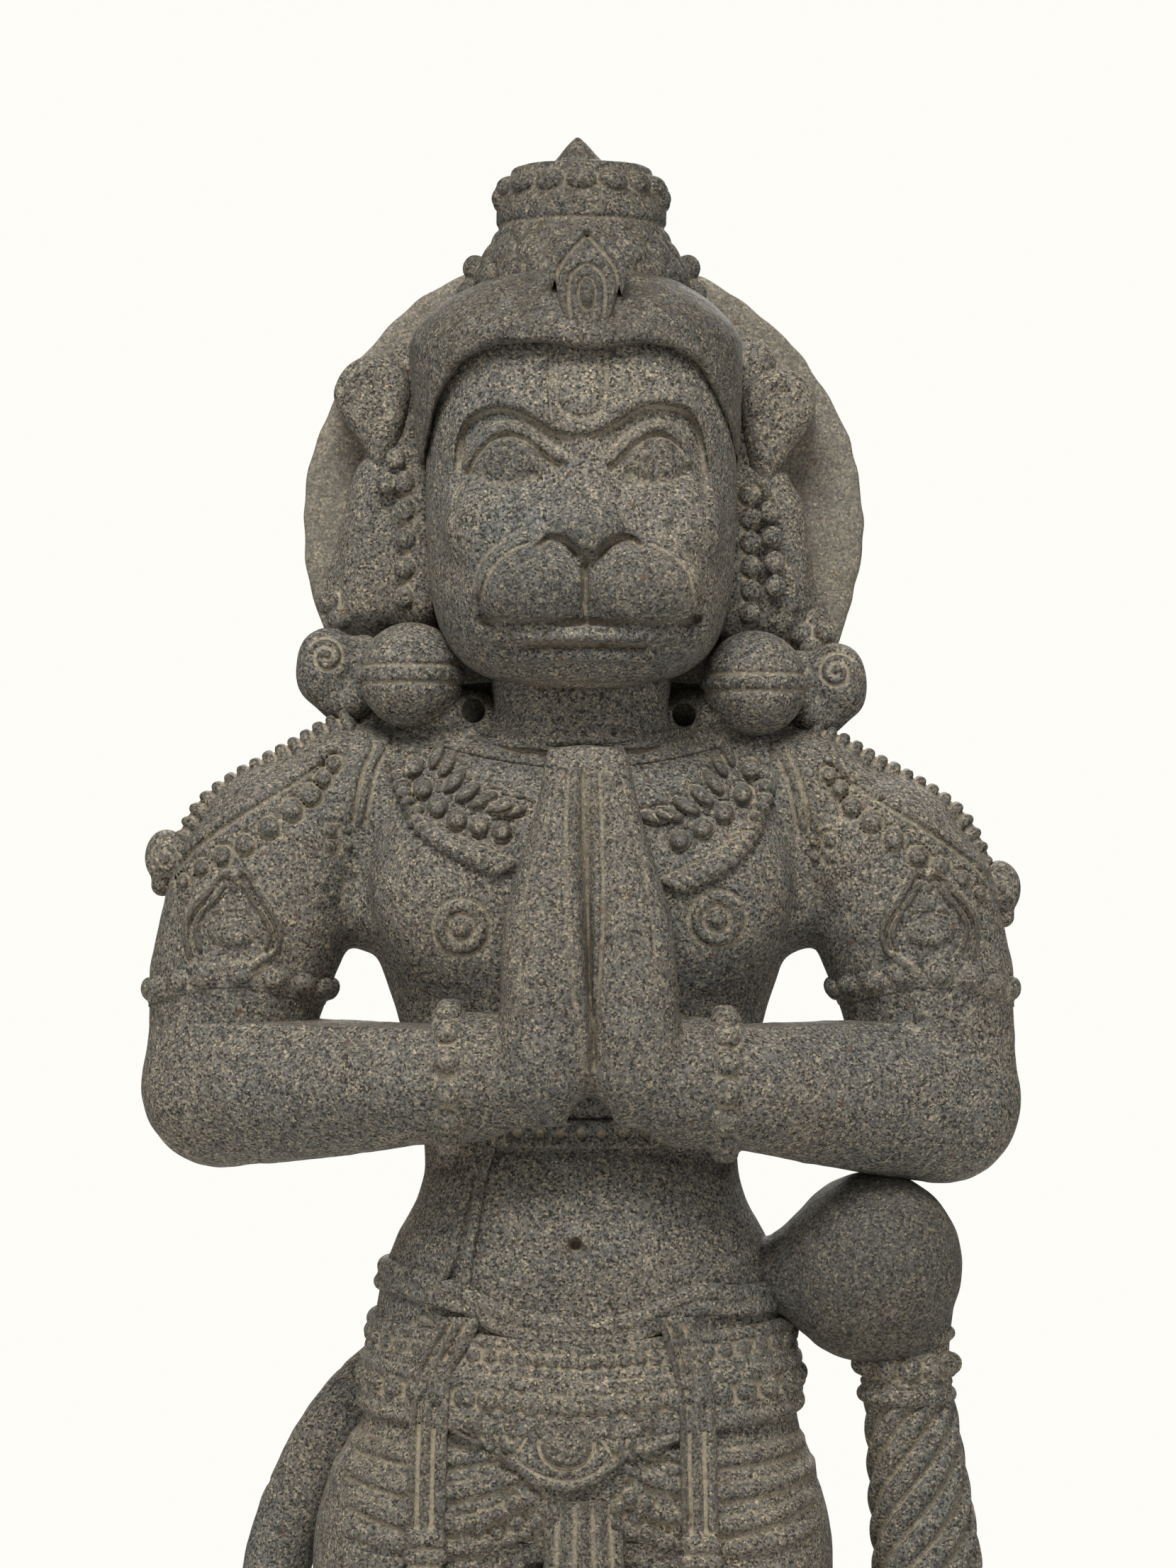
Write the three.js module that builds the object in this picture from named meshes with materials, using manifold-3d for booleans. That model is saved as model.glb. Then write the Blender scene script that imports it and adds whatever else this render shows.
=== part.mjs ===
// A standing granite deity with joined palms, a disc halo, a mace at its left side and a lotus base.
// Units are millimetres. +Z is up, the figure faces -Y, and its own left side is at +X.
// The origin is the middle of the plinth's underside.
import * as THREE from "three";
import { mergeVertices } from "three/addons/utils/BufferGeometryUtils.js";
import Module from "manifold-3d";

const wasm = await Module();
wasm.setup();

// ---- Driving dimensions ------------------------------------------------------------------------------------------

const GAP = 0.35; // clearance between neighbouring solids
const X_AXIS = new THREE.Vector3(1, 0, 0);
const Z_AXIS = new THREE.Vector3(0, 0, 1);

const PLINTH = { halfX: 345, halfY: 200, height: 62, step: 12 };
const LOTUS = { halfX: 330, halfY: 178, top: 120 };
const ANKLE_Z = 172;
const KNEE_Z = 345;
const WAIST_Z = 790;
const NECK_Z = 1186;
const CHIN_Z = 1216;
const HAIRLINE_Z = 1457;
const HALO = { radius: 199, z: 1331, front: 66, back: 102 };
const TOP_Z = 1600;

const RIGHT = -1;
const LEFT = 1;
const SIDES = [
  { name: "right", s: RIGHT },
  { name: "left", s: LEFT },
];

// The carving isn't mirror-true: these features sit at their own places on each side.
const CARVED = {
  right: {
    thighX: 106, thighHalf: 83, ear: [147, 1420], earTip: [117, 1368], strandX: 138, ball: [121, 1223, 37],
    scroll: [183, 1225, 25], ribbonZ: 1190, knob: [294, 1091, 18], armShift: 0, bracelet: 88, strap: 116,
  },
  left: {
    thighX: 90, thighHalf: 76, ear: [140, 1408], earTip: [112, 1347], strandX: 139, ball: [123, 1217, 37],
    scroll: [184, 1214, 24], ribbonZ: 1180, knob: [291, 1068, 20], armShift: -8, bracelet: 96, strap: 94,
  },
};

// Stations of the trunk, from the top: height, half width, half depth, middle of the depth.
const TRUNK = [
  [NECK_Z + 2, 70, 58, 0],
  [1168, 112, 68, -2],
  [1130, 152, 82, -6],
  [1085, 160, 90, -9],
  [1030, 141, 92, -10],
  [960, 128, 85, -9],
  [900, 117, 78, -8],
  [866, 114, 76, -8],
  [830, 123, 83, -10],
  [WAIST_Z, 134, 86, -8],
];
// Stations of the hips under the dhoti.
const HIPS = [
  [WAIST_Z - 1, 136, 88, -8],
  [750, 146, 95, -8],
  [700, 156, 101, -8],
  [650, 160, 102, -6],
  [610, 150, 92, -4],
];

// ---- Solids ------------------------------------------------------------------------------------------------------

// A geometry with one closed surface, as a solid that faces out.
function solid(geometry) {
  const bare = geometry.clone();
  bare.deleteAttribute("normal");
  bare.deleteAttribute("uv");
  const merged = mergeVertices(bare, 1e-3);
  const made = new wasm.Manifold(
    new wasm.Mesh({
      numProp: 3,
      vertProperties: new Float32Array(merged.attributes.position.array),
      triVerts: new Uint32Array(merged.index.array),
    }),
  );
  if (made.volume() > 0) return made;
  const index = merged.index.array;
  for (let i = 0; i < index.length; i += 3) [index[i], index[i + 1]] = [index[i + 1], index[i]];
  return solid(merged);
}

const join = (first, ...rest) => rest.reduce((sum, next) => sum.add(next), first);

// The largest body of a solid: what is left when a cut frees a crumb.
function largest(body) {
  return body.decompose().sort((a, b) => b.volume() - a.volume())[0];
}

// A body drawn through sections along a path. Each station is { at: [x, y, z], a, b }: a is the half size along
// `across`, b the half size square to it and to the path. A section of 4 sides is a rectangle of those half sizes.
function loft(stations, { across = X_AXIS, sides = 14, closed = false, grow = 0, power = 1 } = {}) {
  const turn = sides === 4 ? Math.PI / 4 : 0;
  const stretch = sides === 4 ? Math.SQRT2 : 1;
  const centres = stations.map(({ at }) => new THREE.Vector3(...at));
  const count = centres.length;
  const rings = stations.map(({ a, b = a }, i) => {
    const before = centres[closed ? (i + count - 1) % count : Math.max(i - 1, 0)];
    const after = centres[closed ? (i + 1) % count : Math.min(i + 1, count - 1)];
    const along = after.clone().sub(before).normalize();
    const u = across.clone().addScaledVector(along, -across.dot(along)).normalize();
    const v = along.clone().cross(u);
    const end = closed ? 0 : (i === count - 1) - (i === 0);
    const middle = centres[i].clone().addScaledVector(along, end * grow);
    const ring = [];
    for (let j = 0; j < sides; j++) {
      const angle = (2 * Math.PI * j) / sides + turn;
      const shaped = (value) => stretch * Math.sign(value) * Math.abs(value) ** power;
      ring.push(
        middle
          .clone()
          .addScaledVector(u, shaped(Math.cos(angle)) * (a + grow))
          .addScaledVector(v, shaped(Math.sin(angle)) * (b + grow)),
      );
    }
    return { middle, ring };
  });
  const points = rings.flatMap(({ ring }) => ring);
  const faces = [];
  const rows = closed ? count : count - 1;
  for (let i = 0; i < rows; i++) {
    for (let j = 0; j < sides; j++) {
      const k = (j + 1) % sides;
      const next = (i + 1) % count;
      const quad = [i * sides + j, i * sides + k, next * sides + k, next * sides + j];
      faces.push(quad[0], quad[1], quad[2], quad[0], quad[2], quad[3]);
    }
  }
  if (!closed) {
    for (const i of [0, count - 1]) {
      points.push(rings[i].middle);
      for (let j = 0; j < sides; j++) {
        const edge = [i * sides + j, i * sides + ((j + 1) % sides)];
        if (i === 0) edge.reverse();
        faces.push(points.length - 1, ...edge);
      }
    }
  }
  const geometry = new THREE.BufferGeometry().setFromPoints(points).setIndex(faces);
  return solid(geometry);
}

// A body of upright sections, from rows of [z, half width, half depth, middle of the depth].
function column(rows, options = {}, x = 0) {
  return loft(rows.map(([z, a, b = a, y = 0]) => ({ at: [x, y, z], a, b })), options);
}

// A band round an ellipse. `height` and `thick` are half sizes, and rise(angle) lifts it from z.
function band({ x = 0, y = 0, z, a, b, height, thick, rise = () => 0, segments = 20, sides = 4 }, grow) {
  const stations = [];
  for (let i = 0; i < segments; i++) {
    const angle = (2 * Math.PI * i) / segments;
    stations.push({
      at: [x + a * Math.cos(angle), y + b * Math.sin(angle), z + rise(angle)],
      a: height,
      b: thick,
    });
  }
  return loft(stations, { across: Z_AXIS, sides, closed: true, grow });
}

// A ball squashed to three half sizes.
function ball([x, y, z], [a, b, c], grow, detail = 12) {
  const sphere = new THREE.SphereGeometry(1, detail, Math.round(detail * 0.7));
  sphere.rotateX(Math.PI / 2);
  sphere.scale(a + grow, b + grow, c + grow);
  return solid(sphere.translate(x, y, z));
}

// A round disc whose flat faces look along Y.
function disc([x, y, z], radius, depth, grow, segments = 24) {
  const plate = new THREE.CylinderGeometry(radius + grow, radius + grow, depth + 2 * grow, segments);
  return solid(plate.translate(x, y, z));
}

// Half sizes and depth of a body at height z, between its rows.
function rowAt(rows, z) {
  const below = rows.findIndex((row) => row[0] <= z);
  if (below <= 0) return rows[below < 0 ? rows.length - 1 : 0];
  const [high, low] = [rows[below - 1], rows[below]];
  const t = (high[0] - z) / (high[0] - low[0]);
  return high.map((value, i) => THREE.MathUtils.lerp(value, low[i], t));
}

// The y of a body's front at x and z, and `lift` further out.
function frontAt(rows, x, z, lift = 0) {
  const [, a, b, y] = rowAt(rows, z);
  const share = Math.min(Math.abs(x) / a, 0.98);
  return y - (b + lift) * Math.sqrt(1 - share * share);
}

// A cord or strap laid on the front of a body through points of [x, z].
function laid(rows, points, a, b, grow, { lift = 0, across = X_AXIS, steps = 12, sides = 6 } = {}) {
  const line = new THREE.CatmullRomCurve3(points.map(([x, z]) => new THREE.Vector3(x, 0, z)));
  const stations = line.getSpacedPoints(steps).map((p) => ({
    at: [p.x, frontAt(rows, p.x, p.z, lift), p.z],
    a,
    b,
  }));
  return loft(stations, { across, sides, grow });
}

// ---- Base and legs -----------------------------------------------------------------------------------------------

function plinth(grow) {
  const { halfX, halfY, height, step } = PLINTH;
  const slab = (inset, low, high) =>
    solid(
      new THREE.BoxGeometry(2 * (halfX - inset + grow), 2 * (halfY - inset + grow), high - low + 2 * grow).translate(
        0,
        0,
        (low + high) / 2,
      ),
    );
  return join(slab(0, 0, height * 0.72), slab(step, height * 0.5, height));
}

function lotusBase(grow) {
  const { halfX, halfY, top } = LOTUS;
  const rows = [
    [PLINTH.height + GAP, 12],
    [PLINTH.height + 10, 0],
    [PLINTH.height + 24, 18],
    [PLINTH.height + 31, 22],
    [top - 12, 2],
    [top - 3, 4],
    [top, 12],
  ].map(([z, inset]) => [z, halfX - inset, halfY - inset]);
  return column(rows, { sides: 24, grow, power: 0.8 });
}

function foot({ s }, grow) {
  const x = s * 92;
  const stations = [
    { at: [x, 52, LOTUS.top + 22], a: 20, b: 20 },
    { at: [x, 40, LOTUS.top + 30], a: 34, b: 30 },
    { at: [x, 0, LOTUS.top + 32], a: 38, b: 34 },
    { at: [x + s * 4, -50, LOTUS.top + 24], a: 44, b: 25 },
    { at: [x + s * 8, -95, LOTUS.top + 17], a: 48, b: 18 },
    { at: [x + s * 10, -122, LOTUS.top + 13], a: 40, b: 13 },
  ];
  const sole = new THREE.BoxGeometry(300, 400, 200).translate(x, 0, LOTUS.top + GAP - 100 - grow);
  return loft(stations, { sides: 14, grow }).subtract(solid(sole));
}

function lowerLeg({ s }, grow) {
  const rows = [
    [KNEE_Z + 4, 50, 54, 0],
    [300, 52, 57, 4],
    [240, 46, 50, 6],
    [ANKLE_Z + 12, 38, 40, 6],
    [ANKLE_Z - 22, 40, 42, 4],
  ];
  return column(rows, { sides: 14, grow }, s * 90);
}

function anklet({ s }, grow) {
  const ring = { x: s * 90, y: 5, z: ANKLE_Z + 16, a: 44, b: 46, height: 13, thick: 10, segments: 14 };
  return band(ring, grow);
}

function thigh({ s, name }, grow) {
  const { thighX, thighHalf } = CARVED[name];
  const stations = [
    { at: [s * (thighX - 12), -4, 668], a: thighHalf - 6, b: 88 },
    { at: [s * thighX, -4, 592], a: thighHalf, b: 86 },
    { at: [s * (thighX - 2), 0, 500], a: thighHalf - 7, b: 80 },
    { at: [s * (thighX - 8), 2, 420], a: thighHalf - 13, b: 74 },
    { at: [s * 92, 2, KNEE_Z], a: thighHalf - 14, b: 70 },
  ];
  return loft(stations, { sides: 14, grow });
}

function dhotiHem({ s }, grow) {
  const ring = { x: s * 92, y: 2, z: KNEE_Z + 2, a: 64, b: 71, height: 13, thick: 9, segments: 14 };
  return band(ring, grow);
}

// The pleats that hang between the thighs, fanned at the foot.
function centrePleat(grow) {
  const stations = [
    { at: [0, -92, 655], a: 34, b: 24 },
    { at: [0, -84, 560], a: 30, b: 26 },
    { at: [0, -74, 420], a: 34, b: 24 },
    { at: [0, -66, 300], a: 42, b: 20 },
    { at: [0, -62, 205], a: 52, b: 16 },
  ];
  return loft(stations, { sides: 12, grow, power: 0.7 });
}

// ---- Trunk and dress ---------------------------------------------------------------------------------------------

const hips = (grow) => column(HIPS, { sides: 14, grow });
const torso = (grow) => column(TRUNK, { sides: 14, grow });

function waistSash(grow) {
  const rise = (angle) => 26 * (1 - Math.max(0, -Math.sin(angle))) ** 1.2;
  return band({ y: -8, z: 772, a: 141, b: 93, height: 16, thick: 11, rise }, grow);
}

function belt(grow) {
  const rise = (angle) => 8 * (1 + Math.sin(angle));
  return band({ y: -8, z: 722, a: 153, b: 101, height: 23, thick: 10, rise }, grow);
}

function beltPlaque(grow) {
  const outline = new THREE.Shape();
  outline.moveTo(-80 - grow, 709 + grow);
  outline.lineTo(80 + grow, 709 + grow);
  outline.quadraticCurveTo(70 + grow, 672, 34 + grow, 660 - grow);
  outline.quadraticCurveTo(0, 632 - grow, -34 - grow, 660 - grow);
  outline.quadraticCurveTo(-70 - grow, 672, -80 - grow, 709 + grow);
  const slab = new THREE.ExtrudeGeometry(outline, { depth: 34 + 2 * grow, bevelEnabled: false, curveSegments: 5 });
  return solid(slab.rotateX(Math.PI / 2).translate(0, -92 + grow, 0));
}

function sashStrap({ s, name }, grow) {
  const x = s * CARVED[name].strap;
  const points = [
    [x, 756],
    [x + s * 2, 700],
    [x + s * 6, 640],
    [x + s * 6, 590],
  ];
  return laid(HIPS, points, 13, 11, grow, { lift: 14, steps: 8, sides: 4 });
}

// A band of rings under the joined hands.
const chestBand = (grow) => band({ y: -8, z: 902, a: 119, b: 80, height: 11, thick: 8 }, grow);

function sacredThread(grow) {
  const points = [
    [-52, 925],
    [-66, 890],
    [-74, 850],
    [-84, 812],
    [-104, 786],
  ];
  return laid(TRUNK, points, 7, 5, grow, { lift: 1.5, steps: 10 });
}

// One half of the broad necklace: petals, beads and a twisted edge, down to the joined hands.
function garland({ s }, grow) {
  const points = [
    [s * 112, 1166],
    [s * 106, 1140],
    [s * 84, 1114],
    [s * 52, 1100],
    [s * 28, 1096],
  ];
  return laid(TRUNK, points, 26, 9, grow, { across: Z_AXIS, lift: 2, steps: 10, sides: 4 });
}

function collar(grow) {
  const rise = (angle) => 10 * Math.sin(angle);
  return band({ y: -2, z: 1174, a: 92, b: 70, height: 11, thick: 15, rise }, grow);
}

// ---- Head --------------------------------------------------------------------------------------------------------

const neck = (grow) => column([[CHIN_Z + 14, 64, 60, -2], [1200, 66, 61, 0], [NECK_Z + 3, 72, 66, 0]], { grow });

const HEAD = [
  [1478, 92, 88, -2],
  [1455, 104, 102, -4],
  [1420, 108, 108, -8],
  [1360, 109, 108, -10],
  [1310, 107, 104, -14],
  [1270, 101, 98, -20],
  [1240, 86, 86, -26],
  [1222, 60, 64, -30],
  [CHIN_Z, 36, 44, -34],
];
// The skull, the ridge of the nose, the two lobes of the muzzle and the lower lip.
function head(grow) {
  const lobes = [-32, 40].map((x) => ball([x, -122, 1284], [40, 30, 36], grow, 8));
  const nose = ball([3, -114, 1360], [17, 14, 50], grow, 8);
  const muzzle = ball([3, -108, 1274], [66, 34, 46], grow, 10);
  const lip = ball([3, -120, 1252], [72, 30, 18], grow, 10);
  return join(column(HEAD, { sides: 16, grow }), nose, muzzle, lip, ...lobes);
}

function ear({ s, name }, grow) {
  const [x, z] = CARVED[name].ear;
  const [tipX, tipZ] = CARVED[name].earTip;
  const stations = [
    { at: [s * (x + 3), 36, z + 27], a: 8, b: 24 },
    { at: [s * (x + 2), 36, z + 15], a: 21, b: 31 },
    { at: [s * x, 36, z - 4], a: 25, b: 33 },
    { at: [s * (x * 0.6 + tipX * 0.4), 36, z * 0.6 + tipZ * 0.4], a: 19, b: 31 },
    { at: [s * tipX, 36, tipZ], a: 8, b: 26 },
  ];
  return loft(stations, { sides: 12, grow });
}

// Curls and bead strings that fall from the ear to the earring.
function beadStrand({ s, name }, grow) {
  const { strandX, ball: earring } = CARVED[name];
  const stations = [
    { at: [s * (strandX - 20), 30, 1368], a: 12, b: 34 },
    { at: [s * (strandX - 10), 28, 1330], a: 22, b: 38 },
    { at: [s * (strandX - 2), 26, 1290], a: 29, b: 40 },
    { at: [s * strandX, 24, earring[1] + 30], a: 32, b: 42 },
  ];
  return loft(stations, { sides: 12, grow, power: 0.8 });
}

function ballEarring({ s, name }, grow) {
  const [x, z, r] = CARVED[name].ball;
  return ball([s * x, -26, z], [r, r * 0.95, r], grow, 12);
}

function scrollKnob({ s, name }, grow) {
  const [x, z, r] = CARVED[name].scroll;
  return join(disc([s * x, 10, z], r, 46, grow, 16), ball([s * x, -12, z], [r * 0.7, r * 0.7, 14], grow, 10));
}

function halo(grow) {
  const { radius, z, front, back } = HALO;
  return disc([0, (front + back) / 2, z], radius, back - front, grow, 36);
}

// ---- Crown -------------------------------------------------------------------------------------------------------

// The band over the forehead: it arches up in front and comes down at the temples.
function headband(grow) {
  const rise = (angle) => 18 * Math.max(0, -Math.sin(angle));
  return band({ y: -15, z: 1438, a: 107, b: 94, height: 26, thick: 11, rise }, grow);
}

const cap = (grow) =>
  column([[1512, 82, 80, -2], [1500, 92, 90, -3], [1482, 100, 98, -4], [1460, 106, 106, -5]], { grow, sides: 18 });
const crownBase = (grow) => column([[1529, 62, 62, -2], [1518, 76, 76, -2], [1505, 78, 78, -2]], { grow, sides: 18 });
const crownDrum = (grow) => column([[1571, 54, 54, -2], [1562, 62, 62, -2], [1528, 61, 61, -2]], { grow, sides: 18 });
// The flat top of the crown, with its pointed knob.
function finial(grow) {
  const top = column([[1584, 38, 38, -2], [1580, 42, 42, -2], [1570, 52, 52, -2]], { grow });
  return join(top, column([[TOP_Z, 1.5, 1.5, -2], [1584, 16, 16, -2], [1579, 17, 17, -2]], { grow, sides: 12 }));
}

// The leaf over the forehead, leaning back on the crown.
function crestLeaf(grow) {
  const { width, height, depth, lean } = { width: 27, height: 88, depth: 34, lean: 0.42 };
  const outline = new THREE.Shape();
  outline.moveTo(0, height + grow);
  outline.quadraticCurveTo(width + 4 + grow, height * 0.62, width + grow, height * 0.3);
  outline.quadraticCurveTo(width, height * 0.1, width * 0.5, -grow);
  outline.lineTo(-width * 0.5, -grow);
  outline.quadraticCurveTo(-width, height * 0.1, -width - grow, height * 0.3);
  outline.quadraticCurveTo(-width - 4 - grow, height * 0.62, 0, height + grow);
  const slab = new THREE.ExtrudeGeometry(outline, { depth: depth + 2 * grow, bevelEnabled: false, curveSegments: 5 });
  return solid(slab.translate(0, 0, -grow).rotateX(Math.PI / 2 - lean).translate(6, -92, HAIRLINE_Z - 4));
}

// ---- Arms --------------------------------------------------------------------------------------------------------

function upperArm({ s, name }, grow) {
  const dz = CARVED[name].armShift;
  const stations = [
    { at: [s * 166, -2, 1182 + dz], a: 16, b: 26 },
    { at: [s * 180, -2, 1166 + dz], a: 38, b: 42 },
    { at: [s * 197, -3, 1136 + dz], a: 60, b: 58 },
    { at: [s * 210, -4, 1100], a: 72, b: 66 },
    { at: [s * 224, -5, 1050], a: 74, b: 66 },
    { at: [s * 242, -6, 1000], a: 60, b: 60 },
    { at: [s * 252, -8, 950], a: 52, b: 54 },
    { at: [s * 256, -10, 925], a: 48, b: 50 },
  ];
  return loft(stations, { sides: 14, grow });
}

function forearm({ s, name }, grow) {
  const dz = CARVED[name].armShift / 2;
  const stations = [
    { at: [s * 309, -8, 925 + dz], a: 24, b: 26 },
    { at: [s * 295, -10, 924 + dz], a: 45, b: 44 },
    { at: [s * 262, -18, 922 + dz], a: 57, b: 54 },
    { at: [s * 205, -48, 925 + dz], a: 54, b: 48 },
    { at: [s * 145, -82, 933 + dz / 2], a: 48, b: 41 },
    { at: [s * 100, -108, 941], a: 43, b: 36 },
    { at: [s * 58, -124, 945], a: 40, b: 32 },
  ];
  return loft(stations, { across: Z_AXIS, sides: 14, grow });
}

// A ring round the forearm next to the hand.
function bracelet({ s, name }, grow) {
  const middle = new THREE.Vector3(s * CARVED[name].bracelet, -112, 941);
  const along = new THREE.Vector3(s * 45, 26, -3).normalize();
  const v = Z_AXIS.clone().cross(along).normalize();
  const stations = [];
  const segments = 14;
  for (let i = 0; i < segments; i++) {
    const angle = (2 * Math.PI * i) / segments;
    const p = middle.clone().addScaledVector(Z_AXIS, 45 * Math.cos(angle)).addScaledVector(v, 39 * Math.sin(angle));
    stations.push({ at: p.toArray(), a: 12, b: 8 });
  }
  return loft(stations, { across: along, sides: 4, closed: true, grow });
}

function armlet({ s, name }, grow) {
  const dz = CARVED[name].armShift;
  const ring = { x: s * 240, y: -6, z: 1004 + dz, a: 66, b: 64, height: 12, thick: 9, segments: 14 };
  const flame = ball([s * 246, -62, 1046 + dz], [30, 16, 38], grow, 10);
  return join(band(ring, grow), flame);
}

// The serrated ribbon along the top of the shoulder, and the knob that ends it.
function shoulderRibbon({ s, name }, grow) {
  const { ribbonZ, knob } = CARVED[name];
  const line = new THREE.CatmullRomCurve3([
    new THREE.Vector3(s * 150, -6, ribbonZ + 2),
    new THREE.Vector3(s * 198, -8, ribbonZ - 10),
    new THREE.Vector3(s * 246, -8, ribbonZ - 40),
    new THREE.Vector3(s * (knob[0] - 14), -8, knob[1] + 14),
  ]);
  const stations = line.getSpacedPoints(8).map((p) => ({ at: p.toArray(), a: 17, b: 13 }));
  return loft(stations, { across: new THREE.Vector3(0, 1, 0), sides: 8, grow });
}

function shoulderKnob({ s, name }, grow) {
  const [x, z, r] = CARVED[name].knob;
  return ball([s * x, -6, z], [r, r * 1.1, r], grow, 12);
}

// Two palms set together, leaning back to the collar at the fingertips.
function joinedHands(grow) {
  const stations = [
    { at: [0, -96, 1171], a: 8, b: 10 },
    { at: [0, -97, 1162], a: 19, b: 18 },
    { at: [0, -108, 1110], a: 33, b: 26 },
    { at: [1, -118, 1050], a: 47, b: 33 },
    { at: [3, -124, 990], a: 60, b: 38 },
    { at: [4, -124, 952], a: 62, b: 38 },
    { at: [4, -120, 927], a: 46, b: 30 },
  ];
  return loft(stations, { sides: 14, grow });
}

// ---- Mace and tail -----------------------------------------------------------------------------------------------

const MACE_Y = -34;
// The shaft leans out as it goes down.
const maceX = (z) => 231 + (733 - z) * 0.11;

// The egg-shaped head, and the stone left between it and the hip.
function maceHead(grow) {
  const bridge = [
    { at: [118, -22, 796], a: 24, b: 20 },
    { at: [150, -26, 800], a: 20, b: 18 },
    { at: [176, -30, 803], a: 26, b: 22 },
  ];
  const rows = [
    [878, 14],
    [868, 38],
    [845, 58],
    [812, 65.5],
    [780, 58],
    [756, 38],
  ];
  const stations = rows.map(([z, r]) => ({ at: [204 + (813 - z) * 0.2, MACE_Y, z], a: r, b: r * 0.92 }));
  return join(loft(stations, { grow }), loft(bridge, { across: Z_AXIS, sides: 10, grow }));
}

const along = (rows) => rows.map(([z, r]) => ({ at: [maceX(z), MACE_Y, z], a: r, b: r }));
const maceCollar = (grow) => loft(along([[760, 32], [748, 36], [724, 36], [712, 32]]), { grow });
const maceShaft = (grow) => loft(along([[714, 30], [660, 36], [592, 40], [420, 37], [250, 31], [226, 30]]), { grow });
const maceFoot = (grow) =>
  loft(along([[228, 36], [206, 39], [180, 41], [150, 38], [LOTUS.top + GAP, 27]]), { grow });

// It leaves the back of the hips, arcs out past the right hip and comes down to the base.
function tail(grow) {
  const line = new THREE.CatmullRomCurve3(
    [
      [-20, 78, 716],
      [-90, 84, 730],
      [-150, 66, 700],
      [-200, 46, 640],
      [-226, 36, 560],
      [-232, 34, 440],
      [-214, 44, 300],
      [-196, 56, 190],
      [-190, 60, LOTUS.top + GAP],
    ].map((p) => new THREE.Vector3(...p)),
  );
  const steps = 14;
  const stations = line.getSpacedPoints(steps).map((p, i) => {
    const taper = 1 - (0.4 * i) / steps;
    return { at: p.toArray(), a: 28 * taper, b: 30 * taper };
  });
  return loft(stations, { across: new THREE.Vector3(0, 1, 0), sides: 8, grow });
}

// ---- Assembly ----------------------------------------------------------------------------------------------------

const GRANITE = 0x6c6a61;
const WORN = 0x7d7a70;
const WEATHERED = 0x54514a;

const bothSides = (name, build, colour) =>
  SIDES.map((side) => [`${name}_${side.name}`, (grow) => build(side, grow), colour]);

// In order of rank: a later piece is cut back to clear every earlier one.
const PIECES = [
  ["plinth", plinth, GRANITE],
  ["lotus_base", lotusBase, GRANITE],
  ["torso", torso, GRANITE],
  ["hips", hips, GRANITE],
  ["head", head, GRANITE],
  ["neck", neck, GRANITE],
  ...bothSides("foot", foot, GRANITE),
  ...bothSides("lower_leg", lowerLeg, GRANITE),
  ...bothSides("thigh", thigh, GRANITE),
  ["joined_hands", joinedHands, GRANITE],
  ...bothSides("forearm", forearm, GRANITE),
  ...bothSides("upper_arm", upperArm, GRANITE),
  ["cap", cap, WEATHERED],
  ["crown_base", crownBase, WEATHERED],
  ["crown_drum", crownDrum, WEATHERED],
  ["finial", finial, WEATHERED],
  ["headband", headband, WEATHERED],
  ["crest_leaf", crestLeaf, WEATHERED],
  ["halo", halo, GRANITE],
  ...bothSides("ear", ear, GRANITE),
  ...bothSides("ball_earring", ballEarring, GRANITE),
  ...bothSides("scroll_knob", scrollKnob, WORN),
  ...bothSides("bead_strand", beadStrand, WORN),
  ["collar", collar, WORN],
  ...bothSides("garland", garland, WORN),
  ["chest_band", chestBand, WORN],
  ["sacred_thread", sacredThread, WORN],
  ["waist_sash", waistSash, WORN],
  ["belt", belt, WORN],
  ["belt_plaque", beltPlaque, WORN],
  ...bothSides("sash_strap", sashStrap, WORN),
  ["centre_pleat", centrePleat, WORN],
  ...bothSides("bracelet", bracelet, WORN),
  ...bothSides("armlet", armlet, WORN),
  ...bothSides("shoulder_knob", shoulderKnob, WORN),
  ...bothSides("shoulder_ribbon", shoulderRibbon, WORN),
  ...bothSides("dhoti_hem", dhotiHem, WORN),
  ...bothSides("anklet", anklet, WORN),
  ["mace_head", maceHead, GRANITE],
  ["mace_collar", maceCollar, WORN],
  ["mace_shaft", maceShaft, WORN],
  ["mace_foot", maceFoot, WORN],
  ["tail", tail, GRANITE],
];

function apart(a, b) {
  const [boxA, boxB] = [a.boundingBox(), b.boundingBox()];
  return [0, 1, 2].some((i) => boxA.min[i] > boxB.max[i] || boxB.min[i] > boxA.max[i]);
}

function meshOf(name, body, colour) {
  const { vertProperties, triVerts } = body.getMesh();
  const geometry = new THREE.BufferGeometry();
  geometry.setAttribute("position", new THREE.BufferAttribute(vertProperties, 3));
  geometry.setIndex(new THREE.BufferAttribute(triVerts, 1));
  geometry.computeVertexNormals();
  const material = new THREE.MeshStandardMaterial({ color: colour, roughness: 0.88, metalness: 0 });
  const mesh = new THREE.Mesh(geometry, material);
  mesh.name = name;
  return mesh;
}

const statue = new THREE.Group();
const placed = [];
for (const [name, build, colour] of PIECES) {
  let body = build(0);
  for (const neighbour of placed) {
    if (!apart(body, neighbour)) body = body.subtract(neighbour);
  }
  statue.add(meshOf(name, largest(body), colour));
  placed.push(build(GAP));
}

export default statue;
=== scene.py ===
"""The looks of a carved granite deity statue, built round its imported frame.

Each piece is carved as a distance field on a grid of millimetres, meshed, and placed in metres in the frame's
own axes: +Z up, the figure faces -Y, and its own left side is at +X.
"""

import math

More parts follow.
